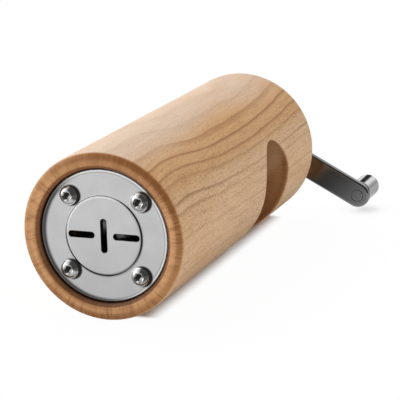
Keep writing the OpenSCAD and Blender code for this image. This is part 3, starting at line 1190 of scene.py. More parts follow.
@dataclass
class MeshDraft:
    """Points and faces of one piece in millimetres, before they become a mesh."""

    points: list[Vector] = field(default_factory=list)
    faces: list[tuple[int, ...]] = field(default_factory=list)

    def ring(self, points: Sequence[Sequence[float]]) -> list[int]:
        """Add a row of points.

        Args:
            points: Points of the row.

        Returns:
            Their numbers.
        """
        start = len(self.points)
        self.points.extend(Vector(p) for p in points)
        return list(range(start, len(self.points)))

    def bridge(self, first: Sequence[int], second: Sequence[int], closed: bool = True) -> None:
        """Join two rows of points with faces.

        Args:
            first: Point numbers of one row; a single point makes a fan.
            second: Point numbers of the other row.
            closed: Whether the rows run all the way round.
        """
        count = max(len(first), len(second))
        for i in range(count if closed else count - 1):
            k = (i + 1) % count
            if len(first) == 1:
                self.faces.append((first[0], second[i], second[k]))
            elif len(second) == 1:
                self.faces.append((first[i], second[0], first[k]))
            else:
                self.faces.append((first[i], second[i], second[k], first[k]))

    def cap(self, loops: Sequence[Sequence[int]]) -> None:
        """Fill a flat face.

        Args:
            loops: Point numbers of the outer loop and of any holes.
        """
        numbers = [n for loop in loops for n in loop]
        for tri in tessellate_polygon([[self.points[n] for n in loop] for loop in loops]):
            self.faces.append(tuple(numbers[i] for i in tri))

    def lathe(
        self,
        profile: Sequence[Point2],
        centre: Point2 = (0.0, 0.0),
        steps: int = 96,
        closed: bool = False,
        gap: float = 0.0,
    ) -> None:
        """Turn a profile about a line along the mill's axis.

        Args:
            profile: Distances from the line and levels along it.
            centre: Place of the line across the mill's axis.
            steps: Number of faces round the line.
            closed: Whether the profile's end joins its start.
            gap: Angle in degrees that is left open.
        """
        whole = gap <= 0.0
        sweep = math.radians(360.0 - gap)
        columns = steps if whole else steps + 1
        angles = [math.radians(gap / 2) + sweep * i / steps for i in range(columns)]
        x, z = centre
        rings = []
        for r, level in profile:
            turned = [(x + r * math.cos(a), level, z + r * math.sin(a)) for a in angles]
            rings.append(self.ring([(x, level, z)] if r < TINY else turned))
        pairs = list(zip(rings, rings[1:]))
        if closed:
            pairs.append((rings[-1], rings[0]))
        for first, second in pairs:
            self.bridge(first, second, whole)
        if not whole:
            self.faces.append(tuple(ring[0] for ring in rings))
            self.faces.append(tuple(ring[-1] for ring in reversed(rings)))

    def slab(
        self,
        outline: Obround,
        holes: Sequence[Obround],
        near: float,
        far: float,
        rounding: Edge,
        hole_rounding: Edge,
    ) -> None:
        """Plate across the mill's axis with rounded edges.

        Args:
            outline: Outer outline.
            holes: Outlines of the holes through it.
            near: Level of its face towards the base.
            far: Level of its face towards the crank.
            rounding: Inset and depth of the roundings of the near and the far outer edge.
            hole_rounding: Inset and depth of the roundings of the near and the far edges of the holes.
        """
        faces: tuple[list[list[int]], list[list[int]]] = ([], [])
        for loop, side, sizes in [(outline, -1, rounding)] + [(h, 1, hole_rounding) for h in holes]:
            rows = [(side * inset, near + depth) for inset, depth in edge_rows(*sizes[0])]
            wide, deep = loop.seat
            if deep > 0:
                rows += [(0.0, far - deep), (wide, far - deep), (wide, far)]
            else:
                rows += [(side * inset, far - depth) for inset, depth in reversed(edge_rows(*sizes[1]))]
            rings = [self.ring([(x, level, z) for x, z in loop.points(grow)]) for grow, level in rows]
            for first, second in zip(rings, rings[1:]):
                self.bridge(first, second)
            faces[0].append(rings[0])
            faces[1].append(rings[-1])
        self.cap(faces[0])
        self.cap(faces[1])

    def tube(self, line: Sequence[Vector], radius: float, sides: int = 12) -> None:
        """Round wire along a line, with flat ends.

        Args:
            line: Points of the line.
            radius: Radius of the wire.
            sides: Number of faces round it.
        """
        angles = [2 * math.pi * s / sides for s in range(sides)]
        rings = []
        across = Vector((0.0, 1.0, 0.0))
        for i, point in enumerate(line):
            ahead = (line[min(i + 1, len(line) - 1)] - line[max(i - 1, 0)]).normalized()
            across = (across - ahead * across.dot(ahead)).normalized()
            other = ahead.cross(across)
            spokes = [math.cos(a) * across + math.sin(a) * other for a in angles]
            rings.append(self.ring([point + radius * spoke for spoke in spokes]))
        for first, second in zip(rings, rings[1:]):
            self.bridge(first, second)
        self.faces.append(tuple(reversed(rings[0])))
        self.faces.append(tuple(rings[-1]))

    def make(self, name: str, sharp: float = SHARP) -> Piece:
        """Turn the draft into an object.

        Args:
            name: Name of the object.
            sharp: Angle in degrees above which an edge stays sharp.

        Returns:
            The object, linked to the scene.
        """
        mesh = bpy.data.meshes.new(name)
        mesh.from_pydata([p * MM for p in self.points], [], self.faces)
        work = bmesh.new()
        work.from_mesh(mesh)
        bmesh.ops.remove_doubles(work, verts=work.verts, dist=MERGE)
        bmesh.ops.recalc_face_normals(work, faces=work.faces)
        work.to_mesh(mesh)
        work.free()
        piece = bpy.data.objects.new(name, mesh)
        bpy.context.scene.collection.objects.link(piece)
        soften(mesh, sharp)
        return piece


def soften(mesh: bpy.types.Mesh, sharp: float) -> None:
    """Shade a mesh smooth, with edges above an angle left sharp."""
    mesh.polygons.foreach_set("use_smooth", [True] * len(mesh.polygons))
    mesh.set_sharp_from_angle(angle=math.radians(sharp))


def edge_rows(inset: float, depth: float, steps: int = 6, lead: float = 0.12) -> list[Point2]:
    """Insets and depths of a rounded edge, from the face to the side.

    Args:
        inset: Width of the rounding on the face.
        depth: Length of the rounding on the side.
        steps: Number of faces in the rounding.
        lead: Width of the flat strips that keep the shading of the faces plain.

    Returns:
        Pairs of inset and depth.
    """
    rows = [(inset + lead, 0.0)]
    for i in range(steps + 1):
        a = math.pi / 2 * i / steps
        rows.append((inset * (1 - math.sin(a)), depth * (1 - math.cos(a))))
    rows.append((0.0, depth + lead))
    return rows


def rounded(corners: Sequence[Corner], closed: bool = False, steps: int = 5) -> list[Point2]:
    """Round the corners of a turned profile.

    Args:
        corners: Corners in order.
        closed: Whether the last corner joins the first.
        steps: Number of faces in each rounding.

    Returns:
        Points of the profile, with a close point before and after each rounding.
    """
    found: list[Point2] = []
    count = len(corners)
    for i, corner in enumerate(corners):
        here = Vector((corner.r, corner.level))
        if corner.rounding <= 0 or (not closed and i in (0, count - 1)):
            found.append((corner.r, corner.level))
            continue
        before = corners[i - 1]
        after = corners[(i + 1) % count]
        back = (Vector((before.r, before.level)) - here).normalized()
        ahead = (Vector((after.r, after.level)) - here).normalized()
        half = back.angle(ahead) / 2
        reach = corner.rounding / math.tan(half)
        lead = min(LEAD, LEAD_SHARE * corner.rounding)
        centre = here + (back + ahead).normalized() * (corner.rounding / math.sin(half))
        first = here + back * reach - centre
        last = here + ahead * reach - centre
        found.append(tuple(here + back * (reach + lead)))
        whole = first.angle(last)
        for k in range(steps + 1):
            share = k / steps
            spoke = first * math.sin((1 - share) * whole) + last * math.sin(share * whole)
            found.append(tuple(centre + spoke / math.sin(whole)))
        found.append(tuple(here + ahead * (reach + lead)))
    return found


def washer(inner: float, outer: float, foot: float, top: float, rounding: float) -> list[Point2]:
    """Profile of a flat ring with rounded edges."""
    places = ((inner, foot), (outer, foot), (outer, top), (inner, top))
    return rounded([Corner(*place, rounding) for place in places], closed=True, steps=3)


def screw_places() -> list[Point2]:
    """Places of the plate screws across the mill's axis, from the upper right one on."""
    angles = [2 * math.pi * (i + 0.5) / SCREW_COUNT for i in range(SCREW_COUNT)]
    return [(SCREW_CIRCLE_R * math.cos(a), SCREW_CIRCLE_R * math.sin(a)) for a in angles]


def carve(piece: Piece, cutter: Piece) -> None:
    """Cut one closed mesh out of another and drop the cutter.

    Args:
        piece: Piece that is cut.
        cutter: Closed mesh that is taken away.
    """
    cut = piece.modifiers.new("cut", "BOOLEAN")
    cut.operation = "DIFFERENCE"
    cut.solver = "EXACT"
    cut.object = cutter
    bpy.context.view_layer.update()
    result = bpy.data.meshes.new_from_object(piece.evaluated_get(bpy.context.evaluated_depsgraph_get()))
    piece.modifiers.clear()
    piece.data = result
    bpy.data.objects.remove(cutter)
    soften(result, SHARP)


def settle(piece: Piece, body: Rides, slot: str, material: Material, *nodes: str) -> None:
    """Dress a piece and put it in the place of its solids.

    Args:
        piece: New piece.
        body: Body that it moves with.
        slot: Material slot of the record; not used.
        material: Finish that it wears.
        nodes: Solids that it stands for.
    """
    piece.data.materials.clear()
    piece.data.materials.append(material)
    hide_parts(*nodes)
    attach(piece, body.value)
    LOG.info("%s stands for %s on %s", piece.name, ", ".join(nodes), body.value)


def keep(node: str, material: Material) -> None:
    """Keep a solid whose shape is right and give it a finish.

    Args:
        node: Name of the solid.
        material: Finish that it wears.
    """
    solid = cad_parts[node]
    solid.data.materials.clear()
    solid.data.materials.append(material)
    LOG.info("%s keeps its solid", node)


class Finishes:
    """Materials of the mill, made once and shared."""

    def __init__(self) -> None:
        """Build every material."""
        steel = ((0.62, 0.62, 0.62, 1.0), (0.55, 0.55, 0.555, 1.0))
        bright = ((0.66, 0.66, 0.66, 1.0), (0.58, 0.58, 0.585, 1.0))
        # Darkened steel: painted shade, standing in for the crank's dark reflections and the shade round the
        # plunger
        dark = ((0.27, 0.27, 0.27, 1.0), (0.23, 0.23, 0.232, 1.0))
        grey = (steel[1], steel[1])
        brass = ((0.62, 0.42, 0.16, 1.0), (0.50, 0.32, 0.11, 1.0))
        brushed, turned, polished = Grain.BRUSHED, Grain.TURNED, Grain.POLISHED
        fine = {"depth": 0.001, "spread": 0.05}
        on_knob = {"grain": turned, "axis": KNOB_AXIS, **fine}
        self.wood = WoodFinish().material()
        self.plate = EdgedFinish("plate_steel", *steel, roughness=0.30, grain=brushed).material()
        self.cutter = SlotFinish("cutter_steel", *steel, roughness=0.30, grain=brushed).material()
        self.screw = SocketFinish(
            "screw_steel", *bright, roughness=0.15, grain=polished, depth=0.002
        ).material()
        self.brass = SteelFinish("insert_brass", *brass, roughness=0.30, grain=turned).material()
        self.bush = SteelFinish("bush_steel", *steel, roughness=0.24, grain=turned).material()
        self.washer = SteelFinish("washer_steel", *steel, roughness=0.32, grain=brushed).material()
        self.spring = SteelFinish("spring_steel", *steel, roughness=0.25, grain=polished).material()
        self.plunger = SteelFinish("plunger_steel", *dark, roughness=0.32, grain=turned).material()
        self.pin = SteelFinish("pin_steel", *grey, roughness=0.25, grain=polished).material()
        self.shaft = SteelFinish("shaft_steel", *steel, roughness=0.22, grain=turned).material()
        self.nylon = NylonFinish().material()
        self.crank = SteelFinish("crank_steel", *dark, roughness=0.17, grain=brushed, **fine).material()
        self.knob = SteelFinish("knob_steel", *bright, roughness=0.10, **on_knob).material()
        self.rivet = SteelFinish("rivet_steel", *dark, roughness=0.12, **on_knob).material()


@dataclass
class WoodenBody:
    """Turned body with the base recess, the side window and the nut chamber.

    Levels are counted along the mill's axis from the base rim. The window's turn is in degrees below +X,
    and its mesh fills a patch of the outer side that is left open for it.
    """

    finishes: Finishes
    radius: float = 25.0
    length: float = BODY_LENGTH
    rim_in: float = 2.2
    rim_deep: float = 1.4
    far_round: float = 0.6
    rim_lead: float = 0.1
    rim_steps: int = 8
    recess_r: float = 20.05
    recess_bevel: float = 1.25
    recess_depth: float = PLATE_BACK
    bevel_rounds: Point2 = (0.3, 0.25)
    chamber_r: float = 12.0
    ceiling: float = CEILING
    bush_r: float = 5.02
    insert_r: float = 2.12
    insert_end: float = 10.6
    insert_steps: int = 32
    overcut: Point2 = (0.8, 1.0)
    window_half: float = 18.0
    window_r: float = 11.2
    window_mid: float = 85.0
    window_turn: float = 20.0
    window_floor: float = 4.0
    window_round: float = 1.1
    window_lead: float = 0.3
    round_steps: int = 5
    blend_rows: int = 5
    columns: int = 120
    patch_columns: int = 22
    patch_half: float = 16.0
    patch_rows: int = 16
    low_rows: int = 10
    high_rows: int = 4
    side_lead: float = 0.15

    def spot(self, across: float, out: float, level: float) -> Vector:
        """Find a point in the window's own directions.

        Args:
            across: Distance across the window.
            out: Distance out along the way that it faces.
            level: Level along the mill's axis.

        Returns:
            The point.
        """
        turn = math.radians(self.window_turn)
        x = out * math.cos(turn) + across * math.sin(turn)
        z = -out * math.sin(turn) + across * math.cos(turn)
        return Vector((x, level, z))

    def skin(self, across: float, level: float) -> Vector:
        """Point on the outer side, on the half that the window faces."""
        return self.spot(across, math.sqrt(self.radius**2 - across**2), level)

    def window_edge(self, across: float, along: float) -> Edge:
        """Meet the window's outline with a ray from its middle.

        Args:
            across: Ray's part across the mill's axis.
            along: Ray's part along the mill's axis.

        Returns:
            The point on the outline and the outline's outward direction there.
        """
        half = self.window_half - self.window_r
        scale = self.window_r / abs(along) if abs(along) > TINY else math.inf
        if abs(across) * scale <= half:
            return (across * scale, along * scale), (0.0, math.copysign(1.0, along))
        middle = math.copysign(half, across)
        a = across**2 + along**2
        b = -2 * across * middle
        c = middle**2 - self.window_r**2
        scale = (-b + math.sqrt(b * b - 4 * a * c)) / (2 * a)
        point = (across * scale, along * scale)
        return point, ((point[0] - middle) / self.window_r, point[1] / self.window_r)

    def levels(self) -> list[float]:
        """Space the rows of the outer side.

        Returns:
            Their levels, between the two rounded rims.
        """
        low = self.window_mid - self.patch_half
        high = self.window_mid + self.patch_half
        start = self.rim_deep + self.side_lead
        end = self.length - self.far_round - self.side_lead
        rows = [start + (low - start) * i / self.low_rows for i in range(self.low_rows)]
        rows += [low + (high - low) * i / self.patch_rows for i in range(self.patch_rows)]
        rows += [high + (end - high) * i / self.high_rows for i in range(self.high_rows + 1)]
        return rows

    def side_columns(self, r: float, level: float) -> list[Vector]:
        """Points all round the axis, counted from the side away from the window."""
        angles = (2 * math.pi * (i / self.columns - 0.5) for i in range(self.columns))
        return [self.spot(r * math.sin(a), r * math.cos(a), level) for a in angles]

    def outer_side(self, draft: MeshDraft) -> tuple[list[int], list[int], list[int]]:
        """Outer side with an open patch round the window.

        Args:
            draft: Draft that takes the points.

        Returns:
            The first row, the last row, and the loop round the open patch.
        """
        levels = self.levels()
        rows = [draft.ring(self.side_columns(self.radius, level)) for level in levels]
        middle = self.columns // 2
        left = middle - self.patch_columns
        right = middle + self.patch_columns
        bottom = self.low_rows
        top = bottom + self.patch_rows
        for i in range(len(rows) - 1):
            for j in range(self.columns):
                if bottom <= i < top and left <= j < right:
                    continue
                k = (j + 1) % self.columns
                draft.faces.append((rows[i][j], rows[i][k], rows[i + 1][k], rows[i + 1][j]))
        loop = [rows[bottom][j] for j in range(left, right)]
        loop += [rows[i][right] for i in range(bottom, top)]
        loop += [rows[top][j] for j in range(right, left, -1)]
        loop += [rows[i][left] for i in range(top, bottom, -1)]
        return rows[0], rows[-1], loop

    def skin_rows(self, starts: Sequence[Point2], edges: Sequence[Edge]) -> list[list[Vector]]:
        """Rows on the outer side that lead from the open patch to the window's rounding.

        Args:
            starts: Places of the patch's loop from the window's middle.
            edges: Places on the window's outline, with outward directions.

        Returns:
            The rows of points.
        """
        reach = self.window_round + self.window_lead
        rows = []
        for i in range(1, self.blend_rows + 1):
            share = i / self.blend_rows
            row = []
            for start, (point, out) in zip(starts, edges):
                across = start[0] + (point[0] + reach * out[0] - start[0]) * share
                along = start[1] + (point[1] + reach * out[1] - start[1]) * share
                row.append(self.skin(across, self.window_mid + along))
            rows.append(row)
        return rows

    def mouth_rows(self, edges: Sequence[Edge]) -> list[list[Vector]]:
        """Rows of the rounding between the outer side and the window's wall.

        Args:
            edges: Places on the window's outline, with outward directions.

        Returns:
            The rows of points.
        """
        rows = []
        sink = self.spot(0.0, self.window_round, 0.0)
        for i in range(self.round_steps + 1):
            t = i / self.round_steps
            row = []
            for point, out in edges:
                across = point[0] + self.window_round * out[0]
                along = point[1] + self.window_round * out[1]
                outer = self.skin(across, self.window_mid + along)
                rim = self.skin(point[0], self.window_mid + point[1])
                row.append(outer * (1 - t) ** 2 + rim * 2 * t * (1 - t) + (rim - sink) * t**2)
            rows.append(row)
        return rows

    def wall_rows(self, edges: Sequence[Edge]) -> list[list[Vector]]:
        """Rows of the window's wall, down to its floor.

        Args:
            edges: Places on the window's outline, with outward directions.

        Returns:
            The rows of points.
        """
        columns = []
        for point, _ in edges:
            high = math.sqrt(self.radius**2 - point[0] ** 2) - self.window_round
            outs = (high - self.window_lead, (high + self.window_floor) / 2, self.window_floor)
            columns.append([self.spot(point[0], out, self.window_mid + point[1]) for out in outs])
        return [list(row) for row in zip(*columns)]

    def window(self, draft: MeshDraft, loop: list[int]) -> None:
        """Window pocket with a rounded edge, joined to the open patch.

        Args:
            draft: Draft that takes the points.
            loop: Loop round the open patch.
        """
        turn = math.radians(self.window_turn)
        starts = []
        for number in loop:
            point = draft.points[number]
            across = point.x * math.sin(turn) + point.z * math.cos(turn)
            starts.append((across, point.y - self.window_mid))
        edges = [self.window_edge(*start) for start in starts]
        last = loop
        for row in self.skin_rows(starts, edges) + self.mouth_rows(edges) + self.wall_rows(edges):
            ring = draft.ring(row)
            draft.bridge(last, ring)
            last = ring
        draft.faces.append(tuple(last))

    def rim(self, level: float, inset: float, depth: float) -> list[Point2]:
        """Rounded outer rim of one end, from the side to the end face and a little across it.

        Args:
            level: Level of the end face.
            inset: Width of the rounding on the end face.
            depth: Length of the rounding on the side, below 0 where the body lies below the face.

        Returns:
            Distances from the axis and levels.
        """
        turns = [math.pi / 2 * i / self.rim_steps for i in range(self.rim_steps + 1)]
        rows = [(self.radius - inset * (1 - math.cos(t)), level + depth * (1 - math.sin(t))) for t in turns]
        return rows + [(self.radius - inset - self.rim_lead, level)]

    def end_rows(self, draft: MeshDraft, first: list[int], profile: Sequence[Point2]) -> None:
        """Close one end of the outer side with a turned profile down to the axis.

        Args:
            draft: Draft that takes the points.
            first: Row of the outer side that the profile starts from.
            profile: Distances from the axis and levels, from the outer side to the axis.
        """
        last = first
        for r, level in profile:
            if r < TINY:
                ring = draft.ring([(0.0, level, 0.0)])
            else:
                ring = draft.ring(self.side_columns(r, level))
            draft.bridge(last, ring)
            last = ring

    def cutter(self) -> Piece:
        """Chamber, bush hole and insert holes as one cutting mesh.

        Returns:
            The cutting mesh.
        """
        draft = MeshDraft()
        start = self.recess_depth - self.overcut[0]
        end = self.length + self.overcut[1]
        draft.lathe(
            [
                (0.0, start),
                (self.chamber_r, start),
                (self.chamber_r, self.ceiling),
                (self.bush_r, self.ceiling),
                (self.bush_r, end),
                (0.0, end),
            ]
        )
        deep, wide = self.insert_end, self.insert_r
        hole = [(0.0, start), (wide, start), (wide, deep), (0.0, deep)]
        for place in screw_places():
            draft.lathe(hole, place, self.insert_steps)
        return draft.make("body_cutter")

    def build(self) -> None:
        """Build and dress the body."""
        draft = MeshDraft()
        low, high, loop = self.outer_side(draft)
        self.window(draft, loop)
        corners = [
            Corner(self.radius - self.rim_in - 2 * self.rim_lead, 0.0),
            Corner(self.recess_r + self.recess_bevel, 0.0, self.bevel_rounds[0]),
            Corner(self.recess_r, self.recess_bevel, self.bevel_rounds[1]),
            Corner(self.recess_r, self.recess_depth),
            Corner(0.0, self.recess_depth),
        ]
        mouth = rounded(corners)
        self.end_rows(draft, low, self.rim(0.0, self.rim_in, self.rim_deep) + mouth)
        top = self.rim(self.length, self.far_round, -self.far_round)
        self.end_rows(draft, high, top + [(0.0, self.length)])
        piece = draft.make("wooden_body")
        carve(piece, self.cutter())
        settle(piece, Rides.BODY, "body_wood", self.finishes.wood, "body")


@dataclass
class ButtonScrew:
    """Button-head screw with a countersunk six-sided socket.

    socket_edge holds, for each row of the countersink, how much wider than the socket it is and how far
    it lies under the dome.
    """

    head_r: float = SCREW_HEAD_R
    head_h: float = 1.45
    head_edge: Point2 = (0.02, 0.05)
    dome_radii: tuple[float, ...] = (2.74, 2.6, 2.4, 2.15, 1.92)
    socket_half: float = SOCKET_HALF
    socket_depth: float = 0.9
    socket_cone: float = 0.25
    socket_edge: tuple[Point2, ...] = ((0.45, 0.0), (0.40, 0.03), (0.05, 0.42), (0.0, 0.50))
    shank_r: float = 1.5
    shank_l: float = 8.0
    tip_share: float = 0.75
    tip_l: float = 0.4
    steps: int = 48

    def dome(self, r: float) -> float:
        """Height of the head at a distance from its axis."""
        ball = (self.head_r**2 + self.head_h**2) / (2 * self.head_h)
        return self.head_h - ball + math.sqrt(ball**2 - r**2)

    @staticmethod
    def hexagon(half: float, angle: float) -> float:
        """Distance of a six-sided outline from its middle at an angle."""
        sector = math.radians(60)
        return half / math.cos((angle % sector) - sector / 2)

    def add(self, draft: MeshDraft, centre: Point2, seat: float, out: int) -> None:
        """Add the screw to a draft.

        Args:
            draft: Draft that takes the points.
            centre: Place of its axis across the mill's axis.
            seat: Level that the head sits on.
            out: 1 where the head points to +Y, and -1 where it points to -Y.
        """
        x, z = centre
        angles = [2 * math.pi * i / self.steps for i in range(self.steps)]
        spokes = [(math.cos(a), math.sin(a)) for a in angles]

        def row(radii: Sequence[float], heights: Sequence[float]) -> list[int]:
            """Add one row of points at these distances and heights."""
            places = zip(spokes, radii, heights)
            return draft.ring([(x + r * right, seat + out * h, z + r * up) for (right, up), r, h in places])

        def even(r: float, h: float) -> list[int]:
            """Add one round row of points."""
            return row([r] * self.steps, [h] * self.steps)

        rows = [draft.ring([(x, seat - out * self.shank_l, z)])]
        rows.append(even(self.shank_r * self.tip_share, -self.shank_l))
        rows.append(even(self.shank_r, -self.shank_l + self.tip_l))
        rows.append(even(self.shank_r, 0.0))
        rows.append(even(self.head_r - self.head_edge[0], 0.0))
        rows.append(even(self.head_r, self.head_edge[1]))
        for r in self.dome_radii:
            rows.append(even(r, self.dome(r)))
        for wider, sink in self.socket_edge:
            radii = [self.hexagon(self.socket_half + wider, a) for a in angles]
            rows.append(row(radii, [self.dome(r) - sink for r in radii]))
        floor = self.head_h - self.socket_depth
        radii = [self.hexagon(self.socket_half, a) for a in angles]
        rows.append(row(radii, [floor] * self.steps))
        rows.append(draft.ring([(x, seat + out * (floor - self.socket_cone), z)]))
        for first, second in zip(rows, rows[1:]):
            draft.bridge(first, second)


@dataclass
class CutterBase:
    """Base plate, slotted cutter disc and the four screws that hold them.

    Edges are pairs of inset and depth, first for the side of the base rim and then for the inner side.
    """

    finishes: Finishes
    face: float = PLATE_FACE
    back: float = PLATE_BACK
    plate_r: float = 19.5
    plate_steps: int = 144
    plate_edges: Edge = ((0.15, 0.15), (0.12, 0.12))
    opening_r: float = OPENING_R
    opening_edges: Edge = ((0.2, 0.2), (0.08, 0.08))
    screw_hole_r: float = 1.62
    screw_hole_steps: int = 32
    disc_r: float = DISC_R
    disc_play: Point2 = (-0.10, 0.08)
    disc_steps: int = 120
    disc_edges: Edge = ((0.12, 0.2), (0.05, 0.05))
    flange_r: float = 13.1
    flange_t: float = 0.9
    flange_gap: float = 0.12
    flange_lap: float = 0.3
    flange_drop: float = 0.01
    flange_round: float = 0.08
    slot_w: float = 1.95
    slot_steps: int = 40
    slot_edges: Edge = ((0.08, 0.12), (0.05, 0.05))
    mid_slot: float = 10.2
    side_slot: float = 8.2
    side_start: float = 2.9
    turn: float = 1.4
    lip_h: float = 0.9
    lip_foot: float = 1.4
    lip_root: float = 0.2
    lip_lean: float = 0.06

    def slots(self) -> list[Obround]:
        """Lay out the three cutting slots.

        Returns:
            Their outlines.
        """
        turn = math.radians(self.turn)
        reach = self.side_start + self.side_slot / 2
        side = (reach * math.cos(turn), reach * math.sin(turn))
        return [
            Obround((0.0, 0.0), self.mid_slot, self.slot_w, self.turn + 90, self.slot_steps),
            Obround(side, self.side_slot, self.slot_w, self.turn, self.slot_steps),
            Obround((-side[0], -side[1]), self.side_slot, self.slot_w, self.turn + 180, self.slot_steps),
        ]

    def lip(self, draft: MeshDraft, angle: float, start: float, length: float) -> None:
        """Sharp lip beside a slot on the disc's inner face.

        Args:
            draft: Draft that takes the points.
            angle: Direction of the slot in degrees.
            start: Distance of the lip's start from the axis.
            length: Length of the lip.
        """
        turn = math.radians(angle)
        profile = [
            (self.slot_w / 2, -self.lip_root),
            (self.slot_w / 2 - self.lip_lean, self.lip_h),
            (self.slot_w / 2 + self.lip_foot, -self.lip_root),
        ]
        ends = []
        for along in (start, start + length):
            points = []
            for across, high in profile:
                x = along * math.cos(turn) + across * math.sin(turn)
                z = along * math.sin(turn) - across * math.cos(turn)
                points.append((x, self.back + high, z))
            ends.append(draft.ring(points))
        draft.bridge(ends[0], ends[1])
        draft.faces.append(tuple(ends[0]))
        draft.faces.append(tuple(reversed(ends[1])))

    def plate(self) -> None:
        """Build and dress the base plate."""
        seat = (self.flange_r + self.flange_gap - self.opening_r, self.flange_t)
        outline = Obround.circle((0.0, 0.0), self.plate_r, self.plate_steps)
        opening = Obround.circle((0.0, 0.0), self.opening_r, self.disc_steps, seat)
        holes = [Obround.circle(at, self.screw_hole_r, self.screw_hole_steps) for at in screw_places()]
        draft = MeshDraft()
        draft.slab(outline, [opening, *holes], self.face, self.back, self.plate_edges, self.opening_edges)
        settle(draft.make("base_plate_ring"), Rides.BODY, "plate_steel", self.finishes.plate, "base_plate")

    def disc(self) -> None:
        """Build and dress the cutter disc with its flange and lips."""
        outline = Obround.circle(self.disc_play, self.disc_r, self.disc_steps)
        draft = MeshDraft()
        draft.slab(outline, self.slots(), self.face, self.back, self.disc_edges, self.slot_edges)
        flange = washer(
            self.disc_r - self.flange_lap,
            self.flange_r,
            self.back - self.flange_t,
            self.back - self.flange_drop,
            self.flange_round,
        )
        draft.lathe(flange, closed=True)
        land = self.slot_w / 2
        for turn in (self.turn, self.turn + 180):
            self.lip(draft, turn, self.side_start + land, self.side_slot - 2 * land)
            self.lip(draft, turn + 90, land / 2, self.mid_slot / 2 - land - land / 2)
        settle(draft.make("slotted_disc"), Rides.BODY, "cutter_steel", self.finishes.cutter, "cutter_disc")

    def screws(self) -> None:
        """Build and dress the four plate screws."""
        draft = MeshDraft()
        for place in screw_places():
            ButtonScrew().add(draft, place, self.face, -1)
        piece = draft.make("button_screws", HEAD_SHARP)
        settle(piece, Rides.BODY, "screw_steel", self.finishes.screw, "plate_screws")

    def build(self) -> None:
        """Build the whole base."""
        self.plate()
        self.disc()
        self.screws()
        keep("threaded_inserts", self.finishes.brass)


@dataclass
class SpringDrive:
    """Bush, shaft, spring, its two washers and the pronged plunger.

    lift_keep is the share of its length that the spring keeps when the crank is pulled out; it is not used.
    """

    finishes: Finishes
    shaft_r: float = SHAFT_R
    shaft_gap: float = 0.05
    bush_r: float = 5.0
    bush_flange_r: float = 8.0
    bush_top: float = 124.5
    bush_foot_round: float = 0.15
    bush_flange_rounds: Point2 = (0.1, 0.5)
    bush_bore_round: float = 0.2
    ceiling: float = CEILING
    body_top: float = BODY_LENGTH
    washer_bore: float = 4.55
    washer_r: float = 8.5
    washer_round: float = 0.12
    seat_foot: float = 116.2
    thrust_foot: float = 12.1
    thrust_top: float = 12.9
    spring_r: float = 6.0
    spring_gap: float = 0.03
    spring_sharp: float = 60.0
    wire_r: float = 0.4
    turns: int = 12
    turn_steps: int = 36
    lift_keep: float = 0.1286

    def coil(self) -> list[Vector]:
        """Centre line of the spring, with one closed turn at each end.

        Returns:
            Points of the line.
        """
        low = self.thrust_top + self.wire_r + self.spring_gap
        high = self.seat_foot - self.wire_r - self.spring_gap
        closed = 2 * (self.wire_r + self.spring_gap)
        whole = self.turns + 2
        line = []
        for i in range(whole * self.turn_steps + 1):
            turn = i / self.turn_steps
            if turn < 1:
                level = low + closed * turn**2
            elif turn > whole - 1:
                level = high - closed * (whole - turn) ** 2
            else:
                share = (turn - 1) / self.turns
                level = low + closed + (high - low - 2 * closed) * share
            a = 2 * math.pi * turn
            line.append(Vector((self.spring_r * math.cos(a), level, -self.spring_r * math.sin(a))))
        return line

    def spring(self) -> None:
        """Build and dress the spring."""
        draft = MeshDraft()
        draft.tube(self.coil(), self.wire_r)
        piece = draft.make("coil_spring", self.spring_sharp)
        settle(piece, Rides.BODY, "spring_steel", self.finishes.spring, "spring")
        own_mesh(piece)

    def bush(self) -> None:
        """Build and dress the flanged bush."""
        bore = self.shaft_r + self.shaft_gap
        draft = MeshDraft()
        corners = [
            Corner(bore, self.ceiling, self.bush_foot_round),
            Corner(self.bush_r, self.ceiling, self.bush_foot_round),
            Corner(self.bush_r, self.body_top),
            Corner(self.bush_flange_r, self.body_top, self.bush_flange_rounds[0]),
            Corner(self.bush_flange_r, self.bush_top, self.bush_flange_rounds[1]),
            Corner(bore, self.bush_top, self.bush_bore_round),
        ]
        draft.lathe(rounded(corners, closed=True), closed=True)
        settle(draft.make("flanged_bush"), Rides.BODY, "bush_steel", self.finishes.bush, "top_bush")

    def ring(self, foot: float, top: float) -> list[Point2]:
        """Profile of a spring washer between two levels."""
        return washer(self.washer_bore, self.washer_r, foot, top, self.washer_round)

    def washers(self) -> None:
        """Build and dress the two spring washers."""
        steel = self.finishes.washer
        seat = MeshDraft()
        seat.lathe(self.ring(self.seat_foot, self.ceiling), closed=True)
        settle(seat.make("spring_seat_ring"), Rides.BODY, "washer_steel", steel, "spring_seat")
        thrust = MeshDraft()
        thrust.lathe(self.ring(self.thrust_foot, self.thrust_top), closed=True)
        settle(thrust.make("thrust_ring"), Rides.CARRIAGE, "washer_steel", steel, "thrust_washer")

    def build(self) -> None:
        """Build the whole drive."""
        self.bush()
        self.washers()
        self.spring()
        keep("plunger", self.finishes.plunger)
        keep("nut_prongs", self.finishes.plunger)
        keep("plunger_pin", self.finishes.pin)
        keep("drive_shaft", self.finishes.shaft)


